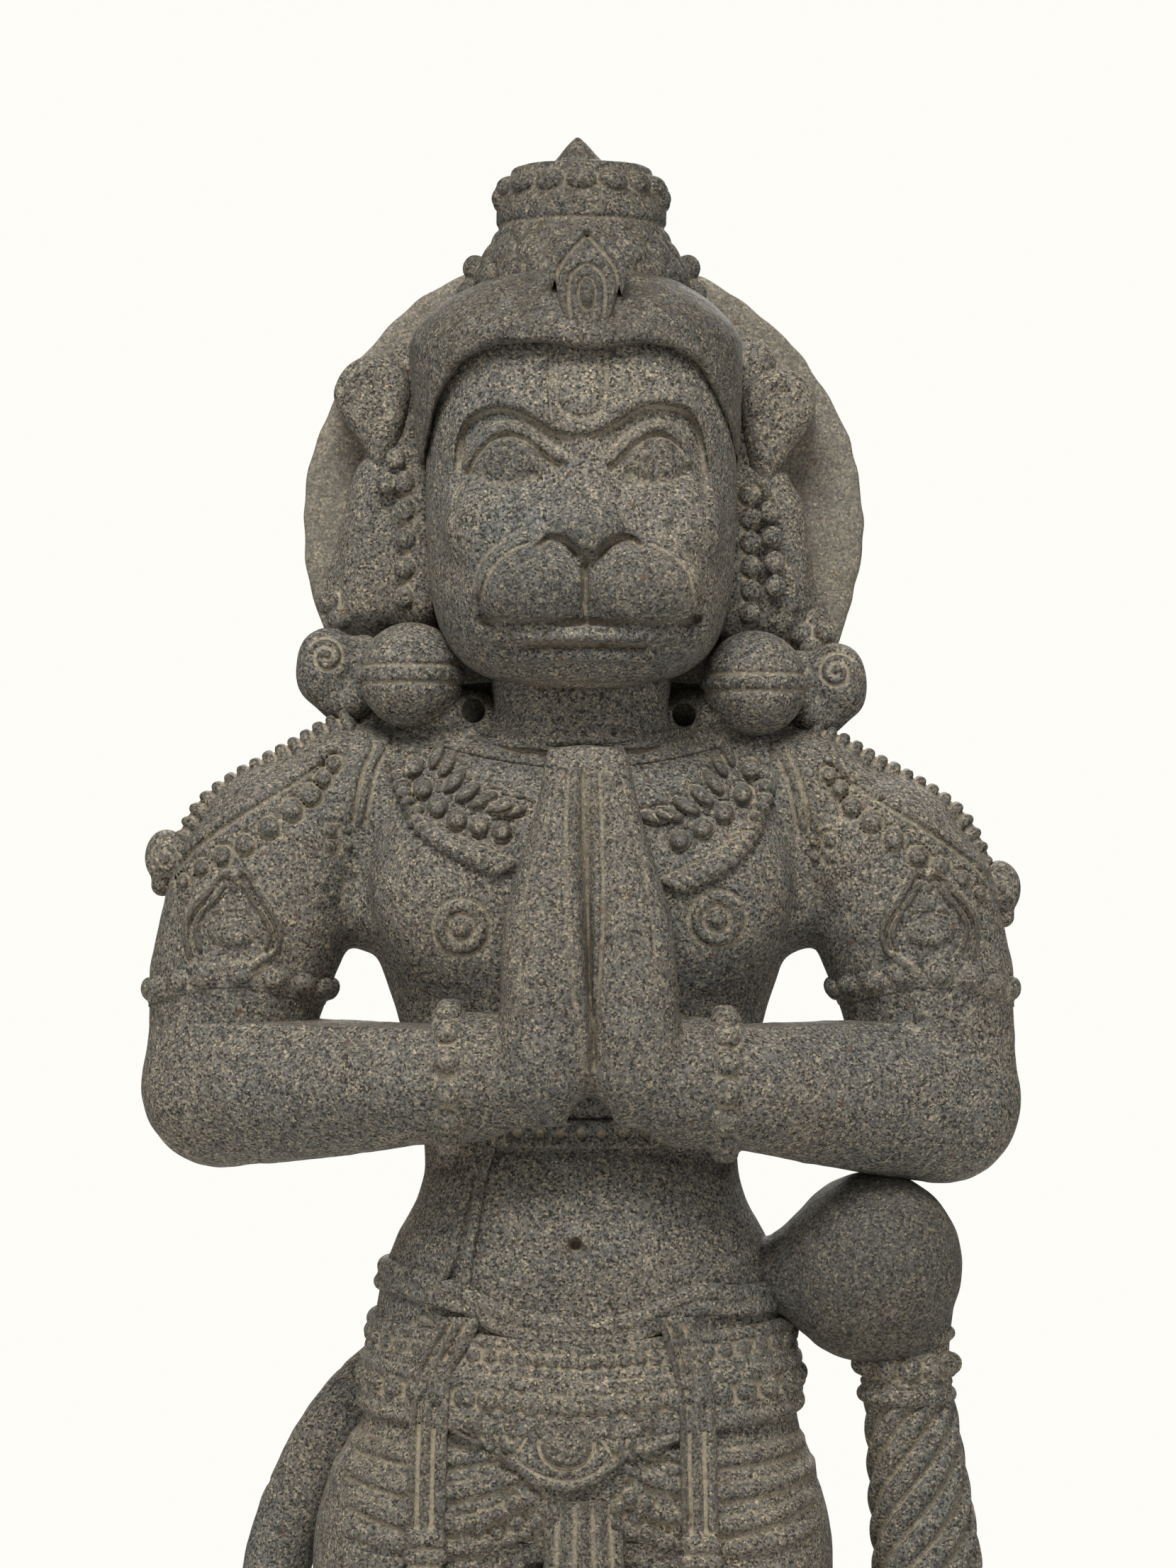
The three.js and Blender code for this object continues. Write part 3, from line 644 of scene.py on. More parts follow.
def granite(name, body=0.15, chalk=0.5, dirt=0.25, streak=(900.0, 900.0, 150.0), soil=0.0):
    """Grey granite: black, grey and cream grains, rust specks, chisel streaks, pale chalky grooves and
    painted shade in broad hollows.

    chalk is how pale the grooves are, dirt how dark the ridges, soil how much brown weathering lies on top.
    """
    material = bpy.data.materials.new(name)
    material.use_nodes = True
    n = Nodes(material)
    place = n.new("ShaderNodeTexCoord").outputs["Object"]

    def noise(scale, detail=2.0, rough=0.5, vector=place):
        made = n.new(
            "ShaderNodeTexNoise", {"Vector": vector, "Scale": scale, "Detail": detail, "Roughness": rough}
        )
        return made.outputs[0]

    def cells(scale, vector=place):
        return n.new("ShaderNodeTexVoronoi", {"Vector": vector, "Scale": scale})

    # The grain, drawn out a little along the strokes of the tool.
    wander = n.new("ShaderNodeTexNoise", {"Vector": place, "Scale": 500.0, "Detail": 1.0})
    push = {0: wander.outputs["Color"], 1: (0.0013, 0.0013, 0.0013), 2: place}
    bent = n.new("ShaderNodeVectorMath", push, operation="MULTIPLY_ADD")
    crystals = cells(720.0, bent.outputs[0])
    crystal = n.new("ShaderNodeSeparateColor", {0: crystals.outputs["Color"]}).outputs[0]
    big = n.new("ShaderNodeSeparateColor", {0: cells(400.0, bent.outputs[0]).outputs["Color"]}).outputs[0]
    stops = [
        (0.0, grey(body * 0.18)),
        (0.13, grey(body * 0.34)),
        (0.30, grey(body * 0.72)),
        (0.55, grey(body * 1.0, -0.3)),
        (0.78, grey(body * 1.28)),
        (0.92, grey(body * 1.75, 0.7)),
        (1.0, grey(body * 2.3, 1.0)),
    ]
    colour = n.ramp(crystal, stops)
    coarse = n.ramp(big, [(0.0, level(0.45)), (0.2, level(0.88)), (0.8, level(1.08)), (1.0, level(1.4, 1.0))])
    colour = n.mix(0.55, colour, n.mix(1.0, colour, coarse, "MULTIPLY"))

    # Slow change of tone over the block, bluer and browner by turns.
    tone = n.ramp(noise(9.0, 4.0, 0.6), [(0.3, level(0.86, -1.0)), (0.7, level(1.12, 1.0))])
    colour = n.mix(1.0, colour, tone, "MULTIPLY")
    patch = n.ramp(noise(70.0, 3.0, 0.6), [(0.3, level(0.84)), (0.72, level(1.16))])
    colour = n.mix(0.8, colour, n.mix(1.0, colour, patch, "MULTIPLY"))

    # Strokes of the tool.
    stretched = n.new("ShaderNodeMapping", {"Vector": place, "Scale": streak})
    stroke = noise(1.0, 2.0, 0.6, stretched.outputs[0])
    colour = n.mix(
        0.7, colour, n.mix(1.0, colour, n.ramp(stroke, [(0.3, level(0.7)), (0.7, level(1.3))]), "MULTIPLY")
    )

    # Chalky grooves and darker ridges, then painted shade in broad hollows.
    groove = n.new("ShaderNodeAttribute", attribute_name="groove").outputs["Fac"]
    hollow = n.new("ShaderNodeAttribute", attribute_name="hollow").outputs["Fac"]
    broken = n.span(noise(420.0, 2.0, 0.7), 0.3, 0.62)
    pale = n.math("MULTIPLY", n.span(groove, 0.05, 0.24), n.span(broken, 0.0, 1.0, 0.35, 1.0))
    pale = n.math("MULTIPLY", pale, chalk)
    colour = n.mix(pale, colour, grey(body * 2.5, 0.9))
    ridge = n.math("MULTIPLY", n.span(groove, -0.08, -0.30), dirt)
    colour = n.mix(ridge, colour, grey(body * 0.42, 0.5))
    # Painted shade: broad hollows are darkened, standing in for the shade that falls in them.
    deep = n.math("MULTIPLY", n.span(hollow, 0.22, 0.6), 0.25)
    colour = n.mix(deep, colour, grey(body * 0.4, 0.6))
    # Tint darkens above 0 and lightens below 0: darker grain on the muzzle and nose, painted shade in the eye
    # sockets and under the brow, the mace head's darker stone with painted shade, an even darkening of the
    # hands, and painted light on the halo.
    tint = n.new("ShaderNodeAttribute", attribute_name="tint").outputs["Fac"]
    colour = n.mix(n.span(tint, 0.0, 1.0), colour, grey(body * 0.2, 0.4))
    colour = n.mix(n.span(tint, 0.0, -1.0), colour, grey(body * 2.0, 0.4))

    # Rust specks.
    rust_cells = cells(75.0)
    pick = n.new("ShaderNodeSeparateColor", {0: rust_cells.outputs["Color"]}).outputs[1]
    near = n.span(rust_cells.outputs["Distance"], 0.32, 0.12)
    rust = n.math("MULTIPLY", near, n.math("GREATER_THAN", pick, 0.86))
    rust = n.math("MULTIPLY", rust, n.span(noise(300.0, 2.0), 0.45, 0.6))
    colour = n.mix(n.math("MULTIPLY", rust, 0.65), colour, (0.11, 0.045, 0.022, 1))

    if soil > 0:
        up = n.new("ShaderNodeSeparateXYZ", {0: n.new("ShaderNodeNewGeometry").outputs["Normal"]}).outputs[2]
        lying = n.math("MULTIPLY", n.span(up, -0.5, 0.9), n.span(noise(55.0, 4.0, 0.65), 0.35, 0.65))
        colour = n.mix(n.math("MULTIPLY", lying, soil), colour, grey(body * 0.36, 1.2))

    grain_height = n.math("MULTIPLY", crystal, 0.6)
    height = n.math("ADD", grain_height, n.math("MULTIPLY", stroke, 0.8))
    height = n.math("ADD", height, n.math("MULTIPLY", noise(260.0, 3.0, 0.7), 1.2))
    bump = n.new("ShaderNodeBump", {"Height": height, "Strength": 0.55, "Distance": 0.0009})
    roughness = n.span(noise(180.0, 2.0), 0.3, 0.7, 0.78, 0.96)
    shader = n.new(
        "ShaderNodeBsdfPrincipled",
        {"Base Color": colour, "Roughness": roughness, "Normal": bump.outputs[0]},
    )
    shader.inputs["Specular IOR Level"].default_value = 0.3
    n.new("ShaderNodeOutputMaterial", {"Surface": shader.outputs[0]})
    return material


SMOOTH = granite("granite_rubbed")
LEVEL = granite("granite_level_strokes", streak=(150.0, 700.0, 900.0))
CARVED = granite("granite_carved", body=0.155, chalk=0.9, dirt=0.6)
DARK = granite("granite_weathered", body=0.122, chalk=0.6, dirt=0.5, soil=0.75)


# ---- The figure's body, shared by every piece that lies on it ------------------------------------

TRUNK = [
    (
        column(
            [
                [NECK + 6, 66, 58, 0],
                [NECK - 12, 84, 62, -2],
                [NECK - 34, 120, 72, -5],
                [NECK - 60, 148, 84, -7],
                [NECK - 103, 158, 92, -9],
                [NECK - 158, 147, 93, -10],
                [NECK - 205, 132, 87, -9],
                [NECK - 260, 119, 80, -8],
                [WAIST + 92, 112, 76, -8],
                [WAIST + 62, 116, 78, -8],
                [WAIST + 34, 131, 82, -8],
                [WAIST + 4, 142, 86, -8],
                [WAIST - 30, 148, 90, -8],
                [WAIST - 90, 154, 98, -8],
                [WAIST - 150, 158, 100, -6],
                [WAIST - 185, 150, 92, -4],
            ],
            power=2.2,
        ),
        0,
    )
]
for s in SIDES.values():
    TRUNK += [
        (rod((s * 52, 2, NECK - 24), (s * 150, -2, NECK - 44), 28, 40), 34),
        (ball((s * 74, -64, NECK - 118), (68, 38, 62)), 30),
        (ball((s * 86, 66, NECK - 110), (52, 26, 72)), 40),
    ]
TRUNK += [
    (ball((0, -50, WAIST + 34), (104, 50, 56)), 40),
]
SHOULDER_DROP = {RIGHT: 0, LEFT: -8}


def upper_arm_shapes(s):
    dz = SHOULDER_DROP[s]
    path = [
        ((s * 176, -4, NECK - 52 + dz), 44),
        ((s * 212, -6, NECK - 88 + dz), 62),
        ((s * 231, -6, NECK - 134), 68),
        ((s * 245, -7, NECK - 180), 64),
        ((s * 252, -8, NECK - 226), 58),
        ((s * 256, -12, NECK - 258), 55),
    ]
    points, radii = zip(*path)
    return chain(points, radii)


def forearm_shapes(s):
    drop, sag = {RIGHT: (0, 0), LEFT: (-6, 8)}[s]
    low = NECK - 259 + drop
    path = [
        ((s * 268, -12, low + 1 - sag), 44),
        ((s * 257, -20, low - sag), 54),
        ((s * 222, -38, low + 4 - sag / 2), 56),
        ((s * 168, -68, low + 8.5), 52.5),
        ((s * 118, -98, low + 13 + sag / 4), 47),
        ((s * 74, -112, low + 15), 44),
    ]
    points, radii = zip(*path)
    return chain(points, radii)


def body_field(lo, hi, cell, arms=True, forearms=False):
    """The smooth trunk and arms inside a box, with no ornament."""
    field = Field(lo, hi, cell)
    for shape, k in TRUNK:
        field.add(shape, k)
    for s in SIDES.values():
        if arms:
            field.add(upper_arm_shapes(s), 24)
            field.add(ball((s * 148, -8, NECK - 134), (24, 40, 26)), 16)
        if forearms:
            field.add(forearm_shapes(s), 12)
    return field


EYELETS = ((-76, CHIN - 19), (72.5, CHIN - 22))


def cut_eyelets(field):
    """Bores the small hole on each side of the neck, straight back as it is seen."""
    for x, z in EYELETS:
        field.cut(rod(sight(x, z, -120), sight(x, z, 60), 8.5), 2)


# ---- Head ----------------------------------------------------------------------------------------

HEAD_ROWS = [
    [CHIN + 264, 92, 88, -4],
    [CHIN + 240, 104, 101, -6],
    [CHIN + 205, 109, 107, -8],
    [CHIN + 150, 111, 108, -10],
    [CHIN + 100, 110, 105, -13],
    [CHIN + 60, 106, 100, -18],
    [CHIN + 34, 98, 92, -23],
    [CHIN + 17, 86, 80, -28],
    [CHIN + 5, 66, 62, -32],
    [CHIN - 1, 40, 40, -36],
]


BROW = [
    (-93, 140),
    (-90, 158),
    (-85, 182),
    (-71, 195),
    (-53, 197.5),
    (-35, 191),
    (-19, 181),
    (4, 178),
    (25, 188),
    (42, 198),
    (59, 200),
    (77, 194),
    (85, 178),
    (89, 158),
    (92, 140),
]


def sink_eyes(field, depth):
    """Sinks both sockets and the bridge between them: sharp under the brow, fading towards the cheeks."""
    line = on_front(field, curve([(x, CHIN + z) for x, z in BROW], 80))

    def sunk(px, pz):
        brow = np.interp(px.ravel(), line[:, 0], line[:, 2]).reshape(px.shape)
        under = brow - pz
        edge = np.clip(under / 4.5, 0, 1)
        fade = np.clip(1 - (under / 64), 0, 1) ** 0.8
        bridge = 1 - 0.5 * np.exp(-(((px - 3) / 15) ** 2))
        side = np.clip((92 - np.abs(px)) / 9, 0, 1)
        return -depth * edge * edge * (3 - 2 * edge) * fade * bridge * side * side * (3 - 2 * side)

    lift_front(field, (-96, CHIN + 72), (96, CHIN + 206), -30, sunk)


def head():
    """The face: brows, lidded eyes, bridged nose, twin-lobed muzzle, wide straight mouth."""
    box = B["head"]
    field = Field(box.lo - 14, box.hi + 6, 1.6)
    c = CHIN
    field.add(column(HEAD_ROWS, power=2.4))
    # A broad muzzle and soft cheeks.
    field.add(ball(sight(4, c + 66, -86), (80, 43, 54)), 30)
    for s in SIDES.values():
        field.add(ball(sight(s * 60 + 2, c + 112, -94), (34, 22, 28)), 24)
    field.add(
        chain([sight(3, c + 196, -100), sight(3, c + 160, -106), sight(4, c + 126, -112)], [13, 14, 20]), 22
    )
    # Sockets, eyes and lids.
    sink_eyes(field, 8.0)
    emboss(field, [(-60, c + 160), (-41, c + 161)], 19, 3.6)
    emboss(field, [(42, c + 161), (60, c + 160)], 19, 3.6)
    lids = (
        [(-80, 152), (-72, 166), (-62, 175.5), (-50, 178), (-38, 174), (-27, 164.5), (-16, 157)],
        [(21, 155), (33, 167.5), (43, 175), (54, 178.5), (64, 175), (72, 166), (75, 154)],
    )
    for lid in lids:
        emboss(field, [(x, c + z + 2.6) for x, z in lid], 5.2, 3.2)
        emboss(field, [(x, c + z - 2.6) for x, z in lid], 3.0, -2.6)
    for under in (
        [(-74, 149), (-62, 142), (-48, 141.5), (-34, 147)],
        [(34, 147), (47, 141.5), (60, 142), (71, 148)],
    ):
        emboss(field, [(x, c + z) for x, z in under], 6, -1.3)
    # Nose pad and the twin lobes of the muzzle.
    field.add(ball(sight(5.5, c + 107, -126), (22, 17, 15)), 9)
    field.add(ball(sight(5.5, c + 99, -128), (13, 15, 13)), 6)
    for x, rx in ((-33.5, 40), (42.5, 41)):
        field.add(ball(sight(x, c + 68, -121), (rx, 27, 33)), 1.5)
    emboss(field, [(-30, c + 97), (-21, c + 103), (-11, c + 101), (-3, c + 92)], 3.6, -3.2)
    emboss(field, [(42, c + 98), (33, c + 103), (22, c + 101), (12, c + 92)], 3.6, -3.2)
    emboss(field, [(-76, c + 58), (-69, c + 82), (-55, c + 97), (-38, c + 104)], 4.0, 1.6)
    emboss(field, [(49, c + 104), (66, c + 97), (80, c + 82), (86, c + 60)], 4.0, 1.6)
    emboss(field, [(-71, c + 60), (-64, c + 79), (-52, c + 92), (-38, c + 99)], 2.8, -1.7)
    emboss(field, [(48, c + 99), (62, c + 92), (75, c + 79), (80, c + 60)], 2.8, -1.7)
    emboss(field, [(4, c + 93), (3, c + 80), (2.5, c + 60), (3.5, c + 46)], 3.2, -3.0)
    # Lips: a dark straight cut under the lobes, a bright raised lower lip, a second roll on the chin.
    lower_lip = [
        (-72, c + 43), (-66, c + 36), (-40, c + 35), (5, c + 34.5), (52, c + 35), (79, c + 37), (85, c + 46)
    ]
    line = on_front(field, curve(lower_lip, 40))
    line[:, 1] -= 1.5
    field.add(chain(line, 6.8), 3)
    mouth = [
        (-73, c + 46), (-50, c + 43.5), (-20, c + 44.5), (6, c + 43), (34, c + 44), (60, c + 42.5),
        (82, c + 46)
    ]
    line = on_front(field, curve(mouth, 60))
    line[:, 1] += 2.5
    field.cut(chain(line, 3.3), 1.2)
    chin = [(-44, c + 19.5), (-20, c + 21.5), (4, c + 21), (26, c + 21.5), (48, c + 19.5)]
    line = on_front(field, curve(chin, 24))
    field.add(chain(line, 4.5), 6)
    emboss(field, [(-40, c + 27), (4, c + 28), (44, c + 27)], 3.0, -1.6)
    # The forehead's mark: two upright grooves joined below.
    mark = [
        (-18.5, c + 240), (-18.5, c + 206), (-15, c + 194), (-6, c + 189), (5, c + 188), (13, c + 193),
        (17, c + 206), (17.5, c + 238)
    ]
    emboss(field, mark, 4.6, -1.9)
    emboss(field, [(-22.5, c + 238), (-22.5, c + 205), (-20.5, c + 184)], 1.9, -1.5)
    emboss(field, [(-71, c + 128), (-72.5, c + 118), (-73, c + 111)], 1.7, -1.2, count=6)
    emboss(field, [(x, c + z + 3) for x, z in BROW[1:-1]], 6, 0.9)

    def grain_and_painted_shade_spots(x, y, z):
        """Darker grain on the lobes and the nose; painted shade in the eye sockets and in a band under the
        brow.
        """
        shade = np.zeros(len(x))
        for (a, b), (p, q), v in (
            ((-34, 66), (36, 29), 0.30), ((41, 65), (37, 29), 0.30), ((5, 104), (18, 14), 0.30),
            ((-50, 160), (24, 14), 0.32), ((51, 160), (23, 14), 0.32), ((0, 186), (84, 12), 0.12)
        ):
            at = sight(a, c + b, -120)
            r = np.sqrt(((x - at[0]) / p) ** 2 + ((z - at[2]) / q) ** 2)
            shade = np.maximum(shade, v * np.clip((1.15 - r) / 0.4, 0, 1))
        return shade * (y < -80)

    return carve("head", field, SMOOTH, rough=0.3, tint=grain_and_painted_shade_spots)


def neck():
    field = Field((-84, -78, NECK - 12), (84, 72, CHIN + 16), 2.2)
    rows = [
        [CHIN + 20, 66, 60, -4], [CHIN - 4, 64, 62, -4], [CHIN - 16, 64, 64, -3], [NECK - 4, 72, 68, -2],
        [NECK - 16, 84, 72, -2]
    ]
    field.add(column(rows, power=2.3))
    cut_eyelets(field)
    return carve("neck", field, SMOOTH)


# ---- Cap and crown -------------------------------------------------------------------------------

ARCH = [
    (-122, CHIN + 160),
    (-114, CHIN + 165),
    (-105, CHIN + 200),
    (-97, CHIN + 216),
    (-84, CHIN + 232),
    (-61, CHIN + 241.5),
    (-27, CHIN + 242),
    (0, CHIN + 237),
    (10, CHIN + 237),
    (42, CHIN + 242),
    (65, CHIN + 240),
    (84, CHIN + 229),
    (97, CHIN + 206),
    (106, CHIN + 187),
    (114, CHIN + 160),
]


def hood_field(lo, hi, cell=2.0):
    """The smooth cap that wraps the head, open in an arch over the face."""
    field = Field(lo, hi, cell)
    rows = [
        [CHIN + 150, 114, 112, -9, -2],
        [CHIN + 200, 117, 116, -9, -3],
        [CHIN + 236, 119, 117, -9, -4],
        [CHIN + 250, 116, 113, -8, -4],
        [CHIN + 264, 105, 105, -6, -3],
        [CHIN + 277, 89, 93, -4, -2],
        [CHIN + 288, 66, 78, -2, 0],
        [CHIN + 296, 30, 54, 0, 0],
    ]
    field.add(column(rows, power=2.3))
    xs, zs = np.array(ARCH).T
    s = (-118 - EYE[1]) / (FRONT - EYE[1])
    xs, zs = EYE[0] + (xs - EYE[0]) * s, EYE[2] + (zs - EYE[2]) * s
    edge = lambda x, y, z: (np.interp(x.ravel(), xs, zs).reshape(x.shape) - z) * 0.8
    field.d = -smooth_min(
        -field.d, -np.broadcast_to(edge(*field.grid(tuple(slice(0, m) for m in field.n))), field.d.shape), 5
    )
    behind = B["halo"].hi[1] - 10
    field.keep(lambda x, y, z: y - behind)
    return field


def headband():
    field = hood_field((-126, -132, CHIN + 145), (122, 112, CHIN + 262))
    field.keep(lambda x, y, z: z - (CHIN + 258) + 0 * x)
    return carve("headband", field, DARK, rough=0.9)


def cap():
    field = hood_field((-126, -132, CHIN + 246), (122, 112, CHIN + 300))
    field.keep(lambda x, y, z: (CHIN + 252) - z + 0 * x + 0 * y)
    return carve("cap", field, DARK, rough=0.9)


def petal_ring(field, z, radius, count, half, k=2.0, turn=0.0, depth=1.0, tilt=0.0):
    """Scale-like petals standing round a drum."""
    for i in range(count):
        t = 2 * math.pi * (i + turn) / count - math.pi / 2
        out = np.array((math.cos(t), math.sin(t) * depth, 0))
        out /= np.linalg.norm(out)
        side = np.array((-out[1], out[0], 0))
        up = np.array((out[0] * tilt, out[1] * tilt, 1))
        up /= np.linalg.norm(up)
        front = np.cross(side, up)
        place = (radius * math.cos(t), radius * depth * math.sin(t), z)
        field.add(turned_ball(place, half, (side, front, up)), k)


def crown_base():
    z = CROWN_TOP - 86
    field = Field((-104, -104, z - 34), (104, 104, z + 28), 1.8)
    field.add(
        column(
            [
                [z - 34, 66, 66, 0], [z - 20, 72, 72, 0], [z - 4, 71, 71, 0], [z + 8, 66, 66, 0],
                [z + 26, 58, 58, 0]
            ]
        )
    )
    petal_ring(field, z - 4, 71, 16, (12.5, 5.5, 13), k=0.8, tilt=-0.35)
    petal_ring(field, z + 9, 66, 16, (11.5, 5.5, 12), k=0.8, turn=0.5, tilt=-0.5)
    petal_ring(field, z + 21, 60, 16, (9.5, 4.5, 9), k=0.8, tilt=-0.4)
    for t in (0.12, math.pi - 0.12, 0.9, math.pi - 0.9):
        field.add(ball((77 * math.cos(t), 77 * math.sin(t), z + 3), (9.5, 9.5, 10)), 2.5)
        field.add(ball((82 * math.cos(t), 82 * math.sin(t), z - 15), (9, 9, 10)), 3)
    return carve("crown_base", field, DARK, rough=0.8)


def crown_drum():
    top = CROWN_TOP
    field = Field((-76, -76, top - 74), (76, 76, top - 8), 1.6)
    rows = [
        [top - 76, 59, 59, 0],
        [top - 62, 60.5, 60.5, 0],
        [top - 46, 61, 61, 0],
        [top - 40, 60, 60, 0],
        [top - 30, 55, 55, 0],
        [top - 14, 50, 50, 0],
    ]
    field.add(column(rows))
    for z in (top - 56, top - 39.5):
        field.cut(ring_line(0, 0, z, 61.5, 61.5, 2.3), 1.2)
    petal_ring(field, top - 29, 53.5, 15, (11, 9.5, 8.6), k=0.6)
    for s in SIDES.values():
        for z, y in ((top - 36, -14), (top - 36, 10)):
            field.add(ball((s * 58, y, z), (6, 6, 7)), 1.5)
    return carve("crown_drum", field, DARK, rough=0.7)


def finial():
    top = CROWN_TOP
    field = Field((-60, -60, top - 28), (60, 60, top + 12), 1.5)
    rows = [
        [top - 28, 50, 50, 0], [top - 20, 50, 50, 0], [top - 15, 45, 45, 0], [top - 11, 30, 30, 0],
        [top - 10, 18, 18, 0]
    ]
    field.add(column(rows))
    cone = [[top - 17, 24, 24, 0], [top - 10, 19.5, 19.5, 0], [top, 10.8, 10.8, 0], [top + 10, 1.2, 1.2, 0]]
    field.add(column(cone, x=-2.5, soft=False), 1.0)
    return carve("finial", field, DARK, rough=0.9)


def crest_leaf():
    """The leaf on the cap's front: a point, two curling lobes, a drop between them."""
    low = CHIN + 235
    field = Field((-40, -142, low - 8), (44, -30, low + 112), 1.4)
    zs = low + np.array([-4, 4, 14, 24, 36, 48, 60, 70, 79, 86])
    ws = np.array([12, 14, 17, 21, 25, 27, 25, 17, 8, 0.6])

    def leaf(x, y, z):
        w = np.interp(z.ravel(), zs, ws).reshape(z.shape)
        flat = (np.abs(x - 4.5) - w) * 0.85
        face = -121 + (z - low) * 0.22 - 6 * np.clip(1 - (np.abs(x - 4.5) / 28) ** 2, 0, 1)
        return np.maximum(
            np.maximum(np.maximum(flat, face - y), y - face - 58), np.maximum(low - 4 - z, z - low - 86)
        )

    field.add(Shape((-26, -138, low - 6), (36, -34, low + 88), leaf))
    a = CHIN + 230
    for s in (-1, 1):
        m = 4
        outer = [
            (m + s * 12, a + 10), (m + s * 19, a + 30), (m + s * 22, a + 48), (m + s * 20, a + 62),
            (m + s * 11, a + 75), (m, a + 87)
        ]
        emboss(field, outer, 2.8, -2.6)
        lobe = [
            (m + s * 6, a + 8), (m + s * 10, a + 24), (m + s * 13, a + 42), (m + s * 11, a + 58),
            (m + s * 3, a + 66)
        ]
        emboss(field, lobe, 2.8, -2.6)
    bead(field, (4, a + 46), (5, 11), 3.0, 2.4)
    emboss(field, [(4, a - 8), (4, a + 30)], 3.0, -2.4)
    return carve("crest_leaf", field, DARK, rough=0.5)


def ring_line(x, y, z, a, b, radius, count=48, rise=None, start=0.0, stop=2 * math.pi):
    """A round bead of stone along an ellipse."""
    angles = np.linspace(start, stop, count + 1)
    lift = [rise(t) if rise else 0 for t in angles]
    return chain([(x + a * math.cos(t), y + b * math.sin(t), z + up) for t, up in zip(angles, lift)], radius)


# ---- Halo, ears and what hangs from them ---------------------------------------------------------


def halo():
    box = B["halo"]
    centre = (0.5, 0, box.mid[2] + 2)
    front, back = box.lo[1] + 1, box.hi[1]
    field = Field((-216, front - 8, box.mid[2] - 214), (216, back + 8, box.mid[2] + 214), 2.8)

    def disc(x, y, z):
        dx, dz = x - centre[0], z - centre[2]
        t = np.arctan2(dz, dx)
        rim = 206 + 1.0 * np.sin(3 * t + 1) + 0.5 * np.sin(7 * t)
        rim = rim + 0.5 * np.sin(17 * t + 2) + 0.4 * np.sin(41 * t)
        r = np.sqrt(dx * dx + dz * dz)
        flat = np.abs(y - (front + back) / 2) - (back - front) / 2 + 5
        side = r - rim + 5
        out = np.sqrt(np.maximum(flat, 0) ** 2 + np.maximum(side, 0) ** 2)
        return out + np.minimum(np.maximum(flat, side), 0) - 5

    field.add(Shape((-212, front, box.mid[2] - 210), (212, back, box.mid[2] + 212), disc))
    # A groove round the back that marks a field inside a broad plain rim, as on many such halos.
    field.cut(ring_line_xz(0, back, box.mid[2], 178, 2.2), 2)
    # Painted light: the halo is lightened everywhere but its back, standing in for light where the head
    # shades it.
    pale = lambda x, y, z: np.where(y < back - 10, -0.3, 0.0)
    return carve("halo", field, SMOOTH, rough=0.7, tint=pale)


def ring_line_xz(x, y, z, radius, thick, count=64):
    angles = np.linspace(0, 2 * math.pi, count + 1)
    return chain([(x + radius * math.cos(t), y, z + radius * math.sin(t)) for t in angles], thick)


# The height of the chin in the outlines of the ears.
DRAWN_CHIN = 1216


def ear(side):
    """A broad ear drawn down to a point, standing off the halo."""
    s = SIDES[side]
    if s < 0:
        outline = [
            (-145, 1452), (-163, 1445), (-175, 1428), (-173, 1412), (-163, 1398), (-152, 1383),
            (-143, 1366), (-133, 1381), (-127, 1400), (-122, 1424), (-128, 1444)
        ]
    else:
        outline = [
            (141, 1442), (156, 1436), (166, 1420), (164, 1404), (152, 1388), (140, 1370), (130, 1352),
            (122, 1368), (117, 1390), (114, 1414), (124, 1434)
        ]
    ring = np.array(outline + outline[:1], float)
    ring[:, 1] += CHIN - DRAWN_CHIN
    ring = np.array([sight(x, z, 0)[[0, 2]] for x, z in ring])
    rows = np.vstack([curve(ring, 60)])
    line = np.stack([rows[:, 0], np.zeros(60), rows[:, 1]], 1)
    near = line_map(line, 60)
    lo = np.array([rows[:, 0].min() - 8, 2, rows[:, 1].min() - 8])
    hi = np.array([rows[:, 0].max() + 8, 74, rows[:, 1].max() + 8])
    field = Field(lo, hi, 1.8)

    def form(x, y, z):
        px, pz = np.broadcast_arrays(x[:, 0, :], z[0])
        inside = np.zeros(px.shape, bool)
        for p, q in zip(rows, np.roll(rows, -1, axis=0)):
            if p[1] == q[1]:
                continue
            between = (p[1] > pz) != (q[1] > pz)
            cross = p[0] + (pz - p[1]) / (q[1] - p[1]) * (q[0] - p[0])
            inside ^= between & (px < cross)
        flat = near(x[:, 0, :], z[0])
        flat = np.where(inside, -flat, flat)
        lift = np.clip(-flat, 0, 16) / 16
        face = 24 - 12 * np.sqrt(lift) + 5 * np.clip((lift - 0.55) / 0.45, 0, 1)
        return np.maximum(flat[:, None, :] * 0.9, np.maximum(face[:, None, :] - y, y - 70))

    field.add(Shape(lo + 4, hi - 4, form))
    field.d = field.d - 0.6
    return carve(f"ear_{side}", field, SMOOTH, rough=0.7)


STRANDS = {
    "right": (
        [(-131, 1375), (-137.5, 1358), (-140.5, 1338), (-143.5, 1318), (-146, 1297), (-148, 1277)],
        [(-125, 1359), (-124.5, 1339), (-124.5, 1319), (-125, 1298), (-126, 1277)],
        [(-151, 1353), (-158, 1331), (-163, 1312), (-168, 1297), (-171, 1284)],
        [(-146, 1362), (-150, 1335), (-153, 1308), (-156, 1284)],
    ),
    "left": (
        [(127, 1355), (133, 1338), (135, 1320), (136.5, 1302), (137, 1285), (136, 1268)],
        [(118, 1350), (119, 1333), (119.5, 1316), (120, 1299), (120, 1282), (119, 1266)],
        [(142, 1325), (148, 1308), (152, 1293), (157, 1276), (165, 1262)],
        [(138, 1342), (142, 1318), (146, 1294), (149, 1272)],
    ),
}


